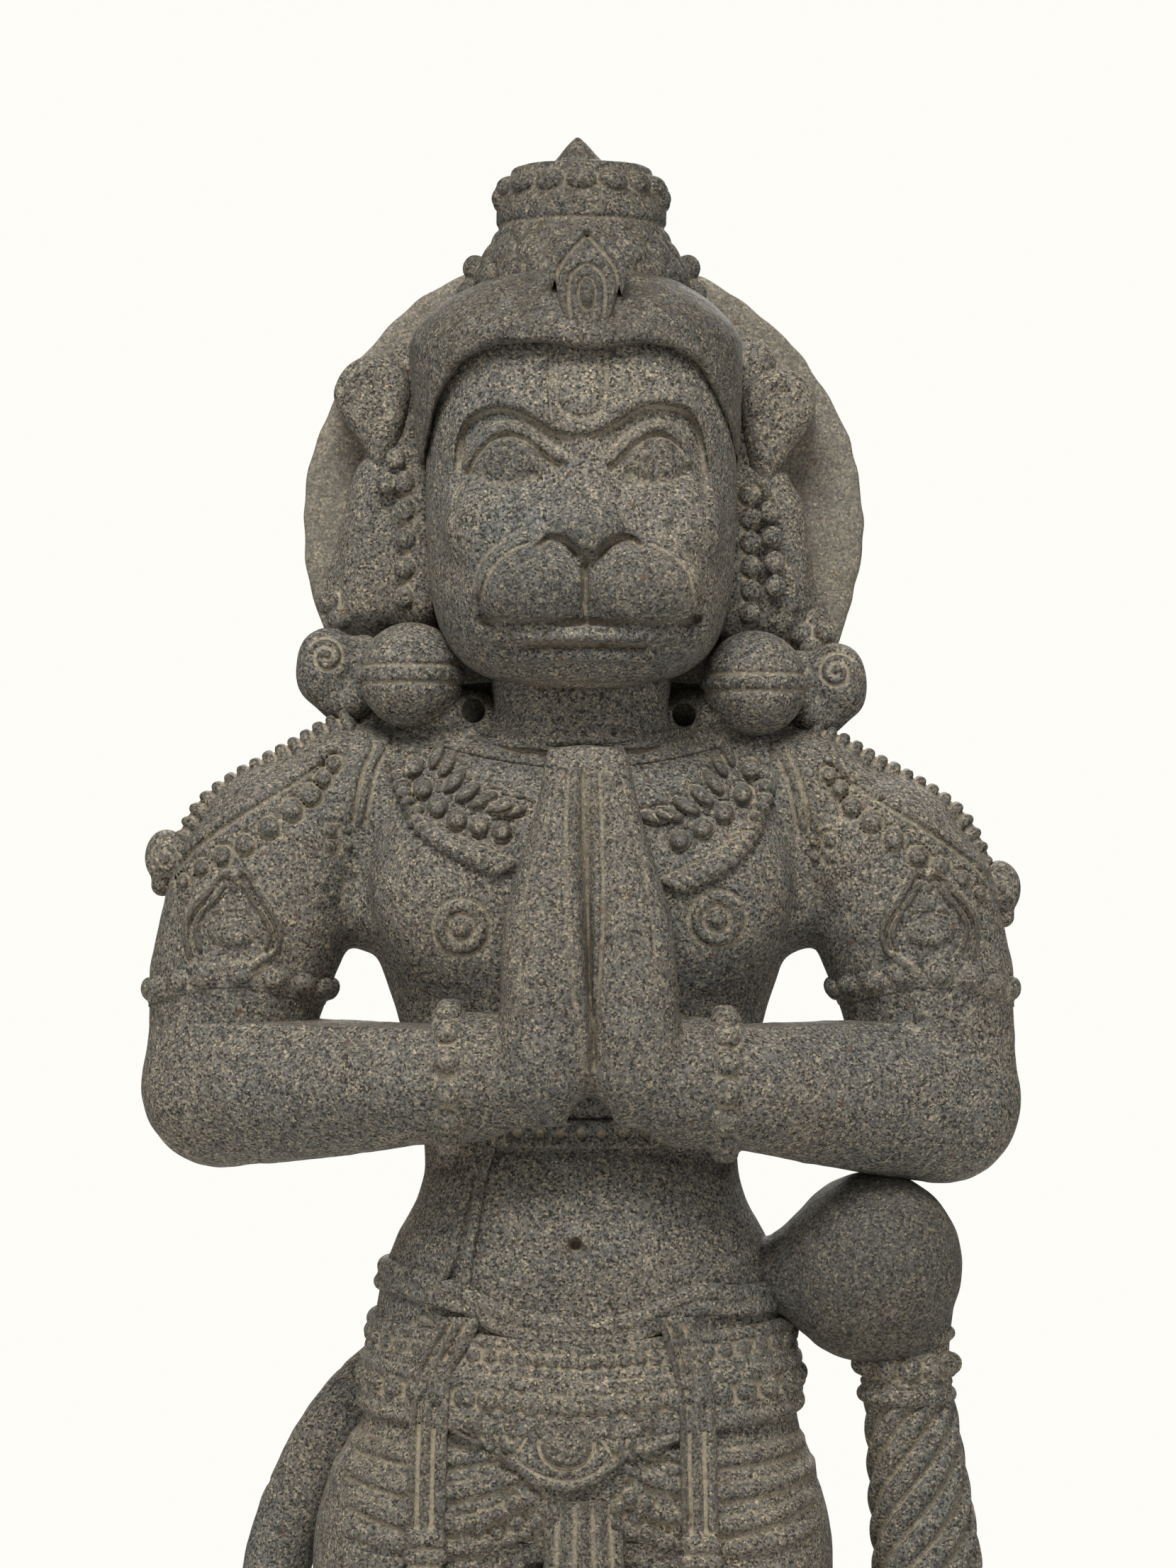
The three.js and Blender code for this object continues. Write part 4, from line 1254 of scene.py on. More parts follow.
def bead_strand(side):
    """Two columns of beads hanging from the ear, a plain ribbon and an outer string ending in a scroll."""
    s = SIDES[side]
    outer, inner, string, ribbon = (
        [tuple(sight(x, z + CHIN - 1216, 4)[[0, 2]]) for x, z in row] for row in STRANDS[side]
    )
    rows = np.array(outer + inner + string)
    field = Field(
        (rows[:, 0].min() - 16, -4, rows[:, 1].min() - 24), (rows[:, 0].max() + 16, 78, CHIN + 250), 1.6
    )
    bed = [(x, 42, z) for x, z in outer]
    field.add(chain(bed, [24] + [27] * (len(bed) - 1)), 0)
    field.add(chain([(x, 46, z) for x, z in inner], 24), 6)
    field.add(chain([(x, 54, z) for x, z in string], 14), 10)
    field.add(chain([(x - s * 12, 30, z) for x, z in inner], 24), 8)
    field.add(chain([(s * 121, 46, CHIN + z) for z in (235, 180, 130, 80, 46)], 21), 4)
    field.keep(lambda x, y, z: 4 - y)
    for x, z in outer + inner:
        field.cut(ball((x, 3, z), (9.8, 3.6, 10.2)), 0.6)
        field.add(ball((x, 6.5, z), (7.8, 4.6, 8.2)), 0.4)
    line = curve([(x, z) for x, z in ribbon], 24)
    field.add(chain([(x, 22, z) for x, z in line], 6), 1.0)
    for x, z in spaced([(x, z) for x, z in string], 13):
        field.add(ball((x, 38, z), (6.3, 7, 6.3)), 0.8)
    x, z = string[-1]
    for dx, dz, r in ((-9, -10, 9.5), (8, -10, 9.5), (-1, -21, 10)):
        field.add(ball((x + dx, 34, z + dz), (r, 10, r)), 1.5)
    return carve(f"bead_strand_{side}", field, CARVED, rough=0.4)


def ball_earring(side):
    box = B[f"ball_earring_{side}"]
    c = box.mid
    r = 37.5
    field = Field(c - r - 4, c + r + 4, 1.7)
    field.add(ball(c, (r, r, r)), 0)
    for z in (6.5, -6.5):
        a = math.sqrt(r * r - z * z)
        field.cut(ring_line(c[0], c[1], c[2] + z, a, a, 2.2), 1)
    for t in np.arange(26) * 2 * math.pi / 26:
        field.add(
            ball((c[0] + (r - 2.4) * math.cos(t), c[1] + (r - 2.4) * math.sin(t), c[2]), (3.9, 3.9, 4.4)),
            0.6
        )
    return carve(f"ball_earring_{side}", field, SMOOTH)


def scroll_knob(side):
    """A round knob cut with a spiral, above a plain lobe that rests on the shoulder."""
    s = SIDES[side]
    box = B[f"scroll_knob_{side}"]
    cx, cz = s * 182.5, box.mid[2] + 12
    field = Field((min(cx - 30, cx - s * 60), -22, cz - 56), (max(cx + 30, cx - s * 60), 44, cz + 26), 1.7)
    field.add(ball((cx, 8, cz), (21, 24, 21)), 0)
    field.add(ball((cx + s * 2, 12, cz - 14), (21, 24, 22)), 8)
    field.add(ball((cx - s * 14, 14, cz - 32), (20, 24, 17)), 10)
    field.add(ball((cx - s * 26, 16, cz - 8), (16, 22, 24)), 10)
    turns = np.linspace(0, 1.75 * 2 * math.pi, 46)
    path = [
        (cx + s * (15.5 - 1.15 * t) * math.cos(t + 0.6), cz + (15.5 - 1.15 * t) * math.sin(t + 0.6))
        for t in turns
    ]
    line = field.cast([(x, -30, z) for x, z in path], (0, 1, 0), 70)
    field.cut(chain(line, 2.6), 1)
    return carve(f"scroll_knob_{side}", field, CARVED)
# ---- Trunk and arms ------------------------------------------------------------------------------

def torso():
    """Chest, back and belly, with rosettes on the breast, cords at the shoulder and a navel."""
    field = body_field((-172, -165, WAIST - 4), (172, 112, CHIN + 4), 2.3)
    # Stone left standing between neck and earrings, with an eyelet through it.
    for s in SIDES.values():
        field.add(ball((s * 92, 6, NECK + 6), (40, 44, 22)), 10)
        field.add(rod((s * 60, 30, NECK + 8), (s * 150, 30, NECK - 6), 24, 28), 10)
    cut_eyelets(field)
    field.keep(lambda x, y, z: np.abs(x) - 168)
    for x, z in ((-84.7, 1044), (96, 1050)):
        z += CHIN - 1216
        for r, h in ((20.5, -1.8), (9.5, -1.8)):
            turn = np.linspace(0, 2 * math.pi, 25)
            emboss(field, [(x + r * math.cos(t), z + r * math.sin(t)) for t in turn], 2.6, h)
        turn = np.linspace(0, 2 * math.pi, 25)
        emboss(field, [(x + 15 * math.cos(t), z + 15 * math.sin(t)) for t in turn], 4, 1.2)
        stamp(field, (x, z), (5.5, 5.5), 2.2)
    # Navel in a ring, and a faint crease over it.
    x, z = -4, WAIST + 29.5
    turn = np.linspace(0, 2 * math.pi, 17)
    emboss(field, [(x + 7.5 * math.cos(t), z + 7 * math.sin(t)) for t in turn], 4, 2.0)
    stamp(field, (x, z), (5.5, 5.5), -7)
    emboss(field, [(-56, z + 10), (-30, z + 12), (0, z + 15), (34, z + 12), (60, z + 8)], 3, -0.5)
    # Edge of the ribs over the belly.
    emboss(
        field, [(-96, WAIST + 86), (-60, WAIST + 96), (0, WAIST + 100), (60, WAIST + 96), (96, WAIST + 86)],
        9, -1.2
    )
    for s in SIDES.values():
        d = 0 if s < 0 else -4
        # Cords that hang from the collar, ending in a tassel at the arm.
        for dx in (0, 9):
            cord = [
                (s * (150 - dx), CHIN - 44 + d), (s * (158 - dx), CHIN - 62 + d),
                (s * (163 - dx), CHIN - 84 + d), (s * (166 - dx), CHIN - 98 + d)
            ]
            emboss(field, cord, 3.4, 2.0)
            emboss(field, [(x - s * 4.5, z) for x, z in cord], 2.6, -1.8)
        for dx in (14, 26):
            fold = [(s * (146 - dx), CHIN - 40), (s * (148 - dx), CHIN - 60), (s * (144 - dx), CHIN - 82)]
            emboss(field, fold, 3.4, -1.7)
    # The spine's furrow.
    for z in np.arange(WAIST + 10, NECK - 20, 8.0):
        field.cut(ball((0, 92, z), (7, 7, 10)), 14)
    return carve("torso", field, SMOOTH, rough=0.5)


def upper_arm(side):
    """Shoulder and arm down to the elbow, with a plain epaulette edged by beads."""
    s = SIDES[side]
    d = SHOULDER_DROP[s]
    lo = (-322, -100, NECK - 216) if s < 0 else (158, -100, NECK - 216)
    hi = (-158, 90, NECK + 14) if s < 0 else (322, 90, NECK + 14)
    field = body_field(lo, hi, 2.2)
    field.keep(lambda x, y, z: 162 - s * x)
    top = NECK + d
    # The epaulette: a smooth raised plate over the shoulder, then a row of beads in pale borders.
    edge = [
        (s * 174, top - 20), (s * 190, top - 34), (s * 214, top - 50), (s * 244, top - 68),
        (s * 272, top - 88), (s * 284, top - 100)
    ]
    emboss(field, [(x, z + 7) for x, z in edge], 10, 2.4)
    emboss(field, edge, 3.0, -2.4)
    beads = [
        (s * 174.7, top - 28, 6),
        (s * 182, top - 38, 6.5),
        (s * 190.5, top - 50, 7.5),
        (s * 204, top - 60.5, 8),
        (s * 220.5, top - 73, 7.8),
        (s * 237.5, top - 85, 7.4),
        (s * 253.5, top - 92.5, 7),
        (s * 268.5, top - 101, 6),
        (s * 281, top - 111, 5),
    ]
    for x, z, r in beads:
        bead(field, (x, z), r, 3.4, 2.4)
    lower = [(x - s * 4, z - 9) for x, z, r in beads]
    emboss(field, lower, 2.6, -1.3)
    # The tassel where the cords end.
    x, z = s * 170, top - 80
    for dx, dz in ((-6, 5), (5, 6), (-6, -6), (6, -6)):
        bead(field, (x + dx, z + dz), 4.6, 1.8, 1.4)
    for k in range(3):
        emboss(field, [(x - 9, z + 15 + 6 * k), (x + 9, z + 15 + 6 * k)], 2.4, 1.0, count=5)
    return carve(f"upper_arm_{side}", field, SMOOTH, rough=0.5)


def armlet(side):
    """A row of beads round the arm under a flame-shaped leaf with an oval jewel."""
    s = SIDES[side]
    lo = (-326, -106, NECK - 208) if s < 0 else (166, -106, NECK - 208)
    hi = (-166, 76, NECK - 96) if s < 0 else (326, 76, NECK - 96)
    field = body_field(lo, hi, 1.8)
    zm = NECK - 175
    droop = lambda x: 14 * np.clip(np.abs(x - s * 246) / 56, 0, 1.2) ** 1.6
    band = lambda x, y, z: np.abs(z - zm + droop(x)) - 10.5
    cx = s * 246
    cz = NECK - 143
    skin_region = lambda x, y, z: np.minimum(
        band(x, y, z), np.maximum(np.sqrt(((x - cx) / 36) ** 2 + ((z - cz) / 42) ** 2) * 36 - 36, y - 20)
    )
    skin = shell(field, 0.8, skin_region)
    # Beads all round.
    line = around(
        field, lambda t: zm - 14 * abs(math.cos(t)) ** 1.6, middle=(s * 245, -6), count=18, far=110
    )[:-1]
    for p in line:
        n = slopes(field, p[None])[0]
        up = np.array((0, 0, 1.0))
        side_way = np.cross(up, n)
        side_way /= np.linalg.norm(side_way) + 1e-9
        skin.add(turned_ball(p + n * 0.6, (9.6, 8.4, 6.0), (side_way, np.cross(n, side_way), n)), 0.3)
    # The leaf: nested outlines running up to a point.
    for k in (0, 8):
        w = 1 - k / 36
        outline = [
            (-30, -22), (-33, -2), (-26, 12), (-14, 24), (-5, 36), (2, 30), (9, 37), (17, 22), (28, 6),
            (34, -8), (31, -22)
        ]
        emboss(skin, [(cx + s * -x * w, cz + 2 + z * w) for x, z in outline], 3.4, 2.8)
        emboss(skin, [(cx + s * -x * (w - 0.11), cz + 2 + z * (w - 0.11)) for x, z in outline], 2.6, -2.2)
    stamp(skin, (cx, cz - 4), (22, 14), -2.0, edge=0.15)
    stamp(skin, (cx, cz - 4), (18.5, 11), 4.6, edge=0.6)
    for dx in (-17, -6, 6, 17):
        flame = [
            (cx + dx, cz + 13 - abs(dx) * 0.3), (cx + dx * 1.05, cz + 22 - abs(dx) * 0.2),
            (cx + dx * 0.5, cz + 33)
        ]
        emboss(skin, flame, 2.6, -2.2, count=10)
    return carve(f"armlet_{side}", skin, CARVED, rough=0.4)


def forearm(side):
    """The forearm, level across the waist's front, from the elbow to the wrist."""
    s = SIDES[side]
    lo = (-322, -168, NECK - 322) if s < 0 else (62, -168, NECK - 330)
    hi = (-62, 60, NECK - 190) if s < 0 else (322, 60, NECK - 190)
    field = Field(lo, hi, 2.4)
    field.add(upper_arm_shapes(s))
    field.add(forearm_shapes(s), 12)
    field.keep(lambda x, y, z: np.maximum(z - (NECK - 210), 78 - s * x) + 0 * y)
    return carve(f"forearm_{side}", field, LEVEL, rough=0.6)


HAND_ROWS = [
    # z below the neck, seen left edge, seen right edge, half depth, middle of the depth
    [-17, -20, 28, 11, -94],
    [-26, -23, 31, 17, -96],
    [-44, -26, 35, 23, -100],
    [-70, -32, 41, 28, -105],
    [-100, -42, 50, 32, -111],
    [-138, -52, 61, 36, -117],
    [-170, -54, 64.5, 39, -121],
    [-200, -55, 66.5, 40, -123],
    [-232, -60, 70, 42, -122],
    [-262, -58, 70, 38, -118],
    [-282, -50, 62, 28, -114],
]


def joined_hands():
    """Palms pressed together, finger tips under the chin: two hands meeting in a strip of thumbs."""
    field = Field((-94, -172, NECK - 300), (100, -56, NECK - 6), 1.7)
    for s in SIDES.values():
        rows = []
        for dz, left, right, depth, y in HAND_ROWS:
            seam = 6 - 0.012 * (dz + 100)
            edge = left if s < 0 else right
            a, b = sight(edge, NECK + dz, y), sight(seam, NECK + dz, y)
            middle = (a[0] + b[0]) / 2
            rows.append([a[2], abs(a[0] - b[0]) / 2 + 2.5, depth, y, middle])
        field.add(column(rows, power=2.7), 2.5)
        # The heel of the hand, rounding into the wrist.
        field.add(ball(sight(s * 30 + 6, NECK - 246, -120), (36, 40, 32)), 8)
        wrist = [(s * 74, -112, NECK - 245), (s * 46, -118, NECK - 242)]
        field.add(chain(wrist, [42, 35]), 10)
    for s in SIDES.values():
        field.add(forearm_shapes(s), 6)
    # The ends of the fingers.
    field.add(ball(sight(4.5, NECK - 28, -98), (24, 13, 11)), 6)
    # The notch between the heels.
    field.cut(rod(sight(6.5, NECK - 279, -190), sight(6.5, NECK - 279, -60), 14), 12)
    field.keep(lambda x, y, z: np.maximum(-91 - x, x - 97))
    top, low = NECK - 34, NECK - 232
    emboss(
        field,
        [(-4, top), (-5, NECK - 80), (-3, NECK - 140), (0, NECK - 180), (4, NECK - 214), (6, low - 14)],
        4.4, 3.2
    )
    emboss(field, [(1, top - 2), (1.5, NECK - 80), (3.5, NECK - 140), (5.5, NECK - 180), (7, low)], 3.0, -1.8)
    emboss(field, [(9, top - 8), (9, NECK - 80), (9.5, NECK - 150), (9, low)], 4.2, 1.6)
    emboss(
        field, [(13, top), (15, NECK - 80), (15.5, NECK - 140), (12, NECK - 190), (8, low - 12)], 3.0, -2.0
    )
    emboss(field, [(18, NECK - 60), (19, NECK - 110), (19, NECK - 160), (16, NECK - 200)], 2.4, -1.1)
    emboss(field, [(23, NECK - 70), (24, NECK - 130), (22, NECK - 180)], 2.2, -0.8)
    emboss(field, [(-10, top - 4), (-12, NECK - 90), (-11, NECK - 150), (-5, NECK - 200)], 2.6, -0.9)
    # The step between the front fingers and those behind.
    emboss(
        field,
        [(-17, NECK - 44), (-27, NECK - 76), (-36, NECK - 104), (-43, NECK - 150), (-43, NECK - 185)], 3.4,
        -1.4
    )
    emboss(
        field, [(28, NECK - 44), (36, NECK - 76), (45, NECK - 108), (51, NECK - 150), (52, NECK - 185)],
        3.4, -1.4
    )
    return carve("joined_hands", field, SMOOTH, rough=0.45, tint=lambda x, y, z: 0.14 + 0 * x)


def bracelet(side):
    """A row of big beads, in pale borders, round the wrist."""
    s = SIDES[side]
    x = -91 if s < 0 else 99
    field = Field((x - 22, -172, NECK - 312), (x + 22, -46, NECK - 192), 1.6)
    base = Field((x - 30, -175, NECK - 316), (x + 30, -40, NECK - 186), 2.2)
    base.add(forearm_shapes(s))
    centre = np.array((x, -106, NECK - 246))
    angles = np.linspace(0, 2 * math.pi, 15)[:-1] + 0.12
    ways = np.stack([np.zeros(14), -np.cos(angles), -np.sin(angles)], 1)
    line = base.cast(centre - ways * 64, ways, 60)
    for p, w in zip(line, -ways):
        n = w
        field.add(turned_ball(p + n * 2.2, (9.6, 9.6, 7.6), ((1, 0, 0), np.cross(n, (1, 0, 0)), n)), 0.4)
    inner = np.maximum(forearm_distance(field, s) - 0.8, np.abs(field.grid(whole(field))[0] - x) - 12)
    field.d = smooth_min(field.d, inner.astype(np.float32), 1.0)
    for p, w in zip(line, -ways):
        ring = turned_ball(p + w * 9.2, (4.0, 4.0, 1.4), ((1, 0, 0), np.cross(w, (1, 0, 0)), w))
        field.cut(ring, 1.0)
    return carve(f"bracelet_{side}", field, CARVED, rough=0.3)


def whole(field):
    return tuple(slice(0, m) for m in field.n)


def forearm_distance(field, s):
    """The distance to the bare forearm, on the grid of another field."""
    copy = Field.__new__(Field)
    copy.cell, copy.lo, copy.n, copy.axes = field.cell, field.lo, field.n, field.axes
    copy.d = np.full(field.n, FAR, np.float32)
    copy.add(forearm_shapes(s))
    return copy.d


def shoulder_ribbon(side):
    """A ribbed ribbon along the top of the shoulder, down to a round knob."""
    s = SIDES[side]
    d = SHOULDER_DROP[s]
    top = NECK + d
    crest = [
        (s * 168, top + 6), (s * 186, top - 3), (s * 206, top - 15), (s * 228, top - 27),
        (s * 252, top - 41), (s * 270, top - 56), (s * 281, top - 74), (s * 286, top - 88)
    ]
    path = [(x, -2, z - 3) for x, z in crest]
    rows = curve(path, 60)
    lo, hi = rows.min(0) - 20, rows.max(0) + 16
    lo[1], hi[1] = -30, 34
    field = Field(lo, hi, 1.6)
    field.add(chain([(x, -7, z - 3) for x, _, z in rows], 6.5), 0)
    field.add(chain([(x, 6, z - 4) for x, _, z in rows], 9), 2)
    field.add(chain([(x, 16, z - 6) for x, _, z in rows], 8), 2)
    line = spaced(path, 10.5)
    ahead = np.gradient(line, axis=0)
    ahead /= np.linalg.norm(ahead, axis=1)[:, None]
    for p, t in zip(line, ahead):
        n = np.array((-t[2], 0, t[0]))
        n = n if n[2] > 0 else -n
        field.add(rod(p - n * 8 + (0, -14, 0), p + n * 4.5 + (0, -9, 0), 3.4), 0.8)
        field.add(rod(p + n * 5.0 + (0, -9, 0), p + n * 6.0 + (0, 18, 0), 3.6), 0.8)
    return carve(f"shoulder_ribbon_{side}", field, CARVED, rough=0.4)


def shoulder_knob(side):
    s = SIDES[side]
    box = B[f"shoulder_knob_{side}"]
    c = box.mid + (0, 0, 2)
    field = Field(c - 28, c + 28, 1.5)
    field.add(ball(c, (15.5, 17, 20)), 0)
    field.add(ball(c - (s * 12, 0, 2), (14, 15, 16)), 6)
    field.add(ball(c + (s * 3, 0, -20), (8, 9, 8)), 4)
    turn = np.linspace(0, 2 * math.pi, 33)
    for r in (0.62, 0.32):
        ring = [(c[0] + 15.5 * r * math.cos(t), c[2] + 19 * r * math.sin(t)) for t in turn]
        line = field.cast([(x, c[1] - 30, z) for x, z in ring], (0, 1, 0), 50)
        field.cut(chain(line, 1.3), 1)
    return carve(f"shoulder_knob_{side}", field, CARVED)


# ---- Ornaments of the chest ----------------------------------------------------------------------


def collar():
    """A plain necklace of three cut lines at the root of the neck."""
    field = body_field((-118, -118, NECK - 50), (118, 92, NECK + 8), 1.8)
    field.add(
        column([[NECK - 16, 84, 72, -2], [NECK - 4, 72, 68, -2], [CHIN - 16, 64, 64, -3]], power=2.3), 10
    )
    fall = lambda x: 12 * np.clip(np.abs(x) / 88, 0, 1.2) ** 2

    def region(x, y, z):
        front = np.clip((30 - y) / 60, 0, 1)
        low = NECK - 18 - 16 * front + fall(x) * front
        high = NECK - 1 - 9 * front + fall(x) * front
        return np.maximum(low - z, z - high)

    skin = shell(field, 2.2, region)
    for dz in (-16, -22, -33):
        line = [(x, NECK + dz + 12 * (abs(x) / 88) ** 2) for x in np.linspace(-96, 96, 25)]
        emboss(skin, line, 2.8, -2.4)
    cut_eyelets(skin)
    return carve("collar", skin, SMOOTH, rough=0.3)


GARLANDS = {
    # Bead row, rope and petals as seen, from the shoulder down to the hands.
    "right": (
        [(-118, 1158), (-113, 1145), (-103, 1132), (-90, 1122), (-74, 1116.5), (-56, 1112)],
        [(-129, 1160), (-126, 1142), (-116, 1122), (-101, 1108), (-82, 1098), (-56, 1086)],
        [
            (-94, 1160, 0.6), (-89, 1148, 0.75), (-80, 1140, 0.95), (-69, 1134, 1.15), (-57, 1130, 1.35),
            (-46, 1128, 1.5), (-102, 1166, 0.35)
        ],
    ),
    "left": (
        [(119, 1156), (115, 1141), (106, 1130), (96.5, 1122), (83, 1113), (69, 1106)],
        [(132, 1150), (129, 1133), (120, 1113), (107, 1097), (90, 1085), (66, 1074)],
        [
            (97, 1160, -0.55), (93, 1147, -0.7), (85, 1137, -0.9), (74, 1130, -1.1), (62, 1124, -1.3),
            (51, 1122, -1.45), (103, 1168, -0.35)
        ],
    ),
}


def garland(side):
    """The broad pectoral: long petals, a row of beads and a twisted cord at its edge."""
    s = SIDES[side]
    beads, rope, petals = GARLANDS[side]
    dz = CHIN - 1216
    beads = [(x, z + dz) for x, z in beads]
    rope = [(x, z + dz) for x, z in rope]
    lo = (-142, -140, 1060 + dz) if s < 0 else (26, -140, 1052 + dz)
    hi = (-26, 20, 1184 + dz) if s < 0 else (146, 20, 1184 + dz)
    field = body_field(lo, hi, 1.5)
    outer = np.array(
        [(sight(x, z, -90)[0], sight(x, z, -90)[2]) for x, z in curve([(s * 131, 1182 + dz)] + rope, 60)]
    )
    order = np.argsort(np.abs(outer[:, 0]))

    def region(x, y, z):
        low = np.interp(np.abs(x.ravel()), np.abs(outer[order, 0]), outer[order, 1]).reshape(x.shape) - 3
        high = NECK - 36 + 16 * (np.abs(x) / 88) ** 2
        edge = np.maximum((low - z) * 0.7, (z - high) * 0.9)
        return np.maximum(np.maximum(edge, np.abs(x) - 134), y - 10)

    skin = shell(field, 1.8, region)
    emboss(skin, [(x * 0.985, z + 7) for x, z in rope], 3.0, -1.6)
    for x, z, turn in petals:
        bead(skin, (x, z + dz), (4.8, 11.5), 3.4, 2.0, -turn)
    for x, z in spaced(beads, 17.0):
        bead(skin, (x, z), 7.6, 4.2, 2.4)
    line = on_front(field, spaced(rope, 7.6))
    line[:, 1] -= 1.5
    twist(skin, line, 9.0, lean=-0.8 * s, k=0.4)
    return carve(f"garland_{side}", skin, CARVED, rough=0.35)


def chest_band():
    """A narrow band of square links under the forearms."""
    zm = B["chest_band"].mid[2]
    field = body_field((-136, -120, zm - 18), (136, 96, zm + 18), 1.8, arms=False)
    skin = shell(field, 2.6, lambda x, y, z: np.abs(z - zm) - 9 + 0 * x + 0 * y)
    line = around(field, lambda t: zm, count=37)[:-1]
    for p in line:
        n = slopes(field, p[None])[0]
        skin.cut(ball(p + n * 4.2, (4.6, 4.6, 4.6)), 1)
    top = around(field, lambda t: zm + 8.5, count=72)
    low = around(field, lambda t: zm - 8.5, count=72)
    skin.add(chain(top, 2.6), 1)
    skin.add(chain(low, 2.6), 1)
    return carve("chest_band", skin, CARVED, rough=0.3)


def sacred_thread():
    """A double cord from the chest band down to the right hip."""
    field = body_field((-150, -125, WAIST - 20), (-40, 20, WAIST + 122), 1.8, arms=False)
    thick = Field((-150, -125, WAIST - 20), (-40, 20, WAIST + 122), 1.5)
    z = WAIST
    outer = [
        (-64, z + 116), (-70, z + 100), (-78, z + 74), (-86, z + 44), (-92, z + 18), (-100, z + 6),
        (-112, z + 5), (-124, z + 10), (-138, z + 18)
    ]
    inner = [(-58, z + 116), (-64, z + 98), (-71, z + 74), (-75, z + 48), (-80, z + 18), (-82, z - 4)]
    for path in (outer, inner):
        line = on_front(field, curve(path, 50))
        line[:, 1] -= 2.6
        thick.add(chain(line, 3.5), 0.6)
    middle = on_front(
        field, curve([((a + c) / 2, (b + d) / 2) for (a, b), (c, d) in zip(outer[:5], inner[:5])], 30)
    )
    middle[:, 1] += 3.5
    thick.add(chain(middle, 4.5), 0.6)
    return carve("sacred_thread", thick, SMOOTH, rough=0.3)
# ---- Hips, cloth and belts -----------------------------------------------------------------------

THIGH_X = {RIGHT: -104.0, LEFT: 92.0}


def thigh_shape(s):
    """One draped leg, from under the belt to the hem."""
    hem = B["dhoti_hem_right" if s < 0 else "dhoti_hem_left"].mid[2]
    x = THIGH_X[s]
    rows = [
        [WAIST - 96, 70, 78, -6, -s * 26],
        [WAIST - 130, 80, 86, -10, -s * 8],
        [WAIST - 175, 86, 92, -12, 0],
        [WAIST - 230, 86, 90, -12, 0],
        [WAIST - 290, 80, 84, -9, -s * 1],
        [WAIST - 350, 72, 76, -4, -s * 4],
        [WAIST - 400, 64, 69, 0, -s * 6],
        [hem - 6, 60, 66, 0, -s * 6],
    ]
    return column(rows, x=x, power=2.2)


def hip_field(lo, hi, cell):
    field = Field(lo, hi, cell)
    for shape, k in TRUNK[:1]:
        field.add(shape, k)
    for shape, k in TRUNK[-1:]:
        field.add(shape, k)
    for s in SIDES.values():
        field.add(thigh_shape(s), 20)
    # The dip between the thighs.
    field.cut(rod(sight(0, WAIST - 560, -126), sight(0, WAIST - 236, -122), 16, 8), 14)
    return field


def cloth_folds(field, s, low, high):
    """Curved folds that hang across a thigh."""
    x0 = s * 98
    for k, z in enumerate(np.arange(WAIST - 112, low, -21.5)):
        if z > high:
            continue
        sag = 9 + 2.5 * (k % 3)
        fold = [
            (x0 - 66, z + 6), (x0 - 40, z - sag * 0.4), (x0, z - sag), (x0 + 40, z - sag * 0.4),
            (x0 + 64, z + 7)
        ]
        emboss(field, fold, 7.0, 2.4)
        emboss(field, [(x, zz - 7) for x, zz in fold], 4.0, -1.8)
        emboss(field, [(x, zz + 7) for x, zz in fold], 2.4, -0.9)


def leg_beads(field, s, z, count=9):
    x0 = s * 100
    for i in range(count):
        t = (i - (count - 1) / 2) / ((count - 1) / 2)
        bead(field, (x0 + t * 56, z - 5 * (1 - t * t)), 6.0, 2.6, 1.6)
    for dz in (10, -10):
        emboss(field, [(x0 - 64, z + dz), (x0, z + dz - 5), (x0 + 64, z + dz)], 2.4, -1.3)


def rosette(field, x, z, r=13.0):
    """A curl of beads round a middle one."""
    bead(field, (x, z), r * 0.42, 2.6, 1.6)
    for t in np.arange(7) * 2 * math.pi / 7:
        bead(field, (x + r * math.cos(t), z + r * math.sin(t)), r * 0.36, 2.2, 1.4)


def hips():
    field = hip_field((-198, -140, WAIST - 192), (186, 112, WAIST + 2), 2.3)
    z = WAIST
    # Beads and lozenges on the hips, under the sash.
    for s in SIDES.values():
        for i in range(5):
            bead(field, (s * (112 + 6.5 * i), z - 26 - 3.5 * i), 4.8, 2.0, 1.3)
        for r in (15, 8.5):
            turn = np.linspace(0, 2 * math.pi, 21)
            emboss(
                field, [(s * 138 + r * 0.9 * math.cos(t), z - 74 + r * math.sin(t)) for t in turn], 2.6,
                -1.7
            )
        stamp(field, (s * 138, z - 74), (5, 5), 2.4)
    for x, zz in ((-46, z - 165), (38, z - 161)):
        rosette(field, x, zz, 14)
    for s, x0 in ((RIGHT, -60), (LEFT, 56)):
        for i in range(4):
            bead(field, (x0 + s * 6 * i, z - 186 + 7 * i), 5, 2.2, 1.4)
    for s in SIDES.values():
        emboss(field, [(s * 24, z - 150), (s * 40, z - 132), (s * 64, z - 118), (s * 88, z - 112)], 4, -1.4)
        emboss(field, [(s * 26, z - 158), (s * 44, z - 142), (s * 68, z - 128)], 4, 1.4)
    for s in SIDES.values():
        cloth_folds(field, s, WAIST - 195, WAIST - 106)
    return carve("hips", field, SMOOTH, rough=0.5)


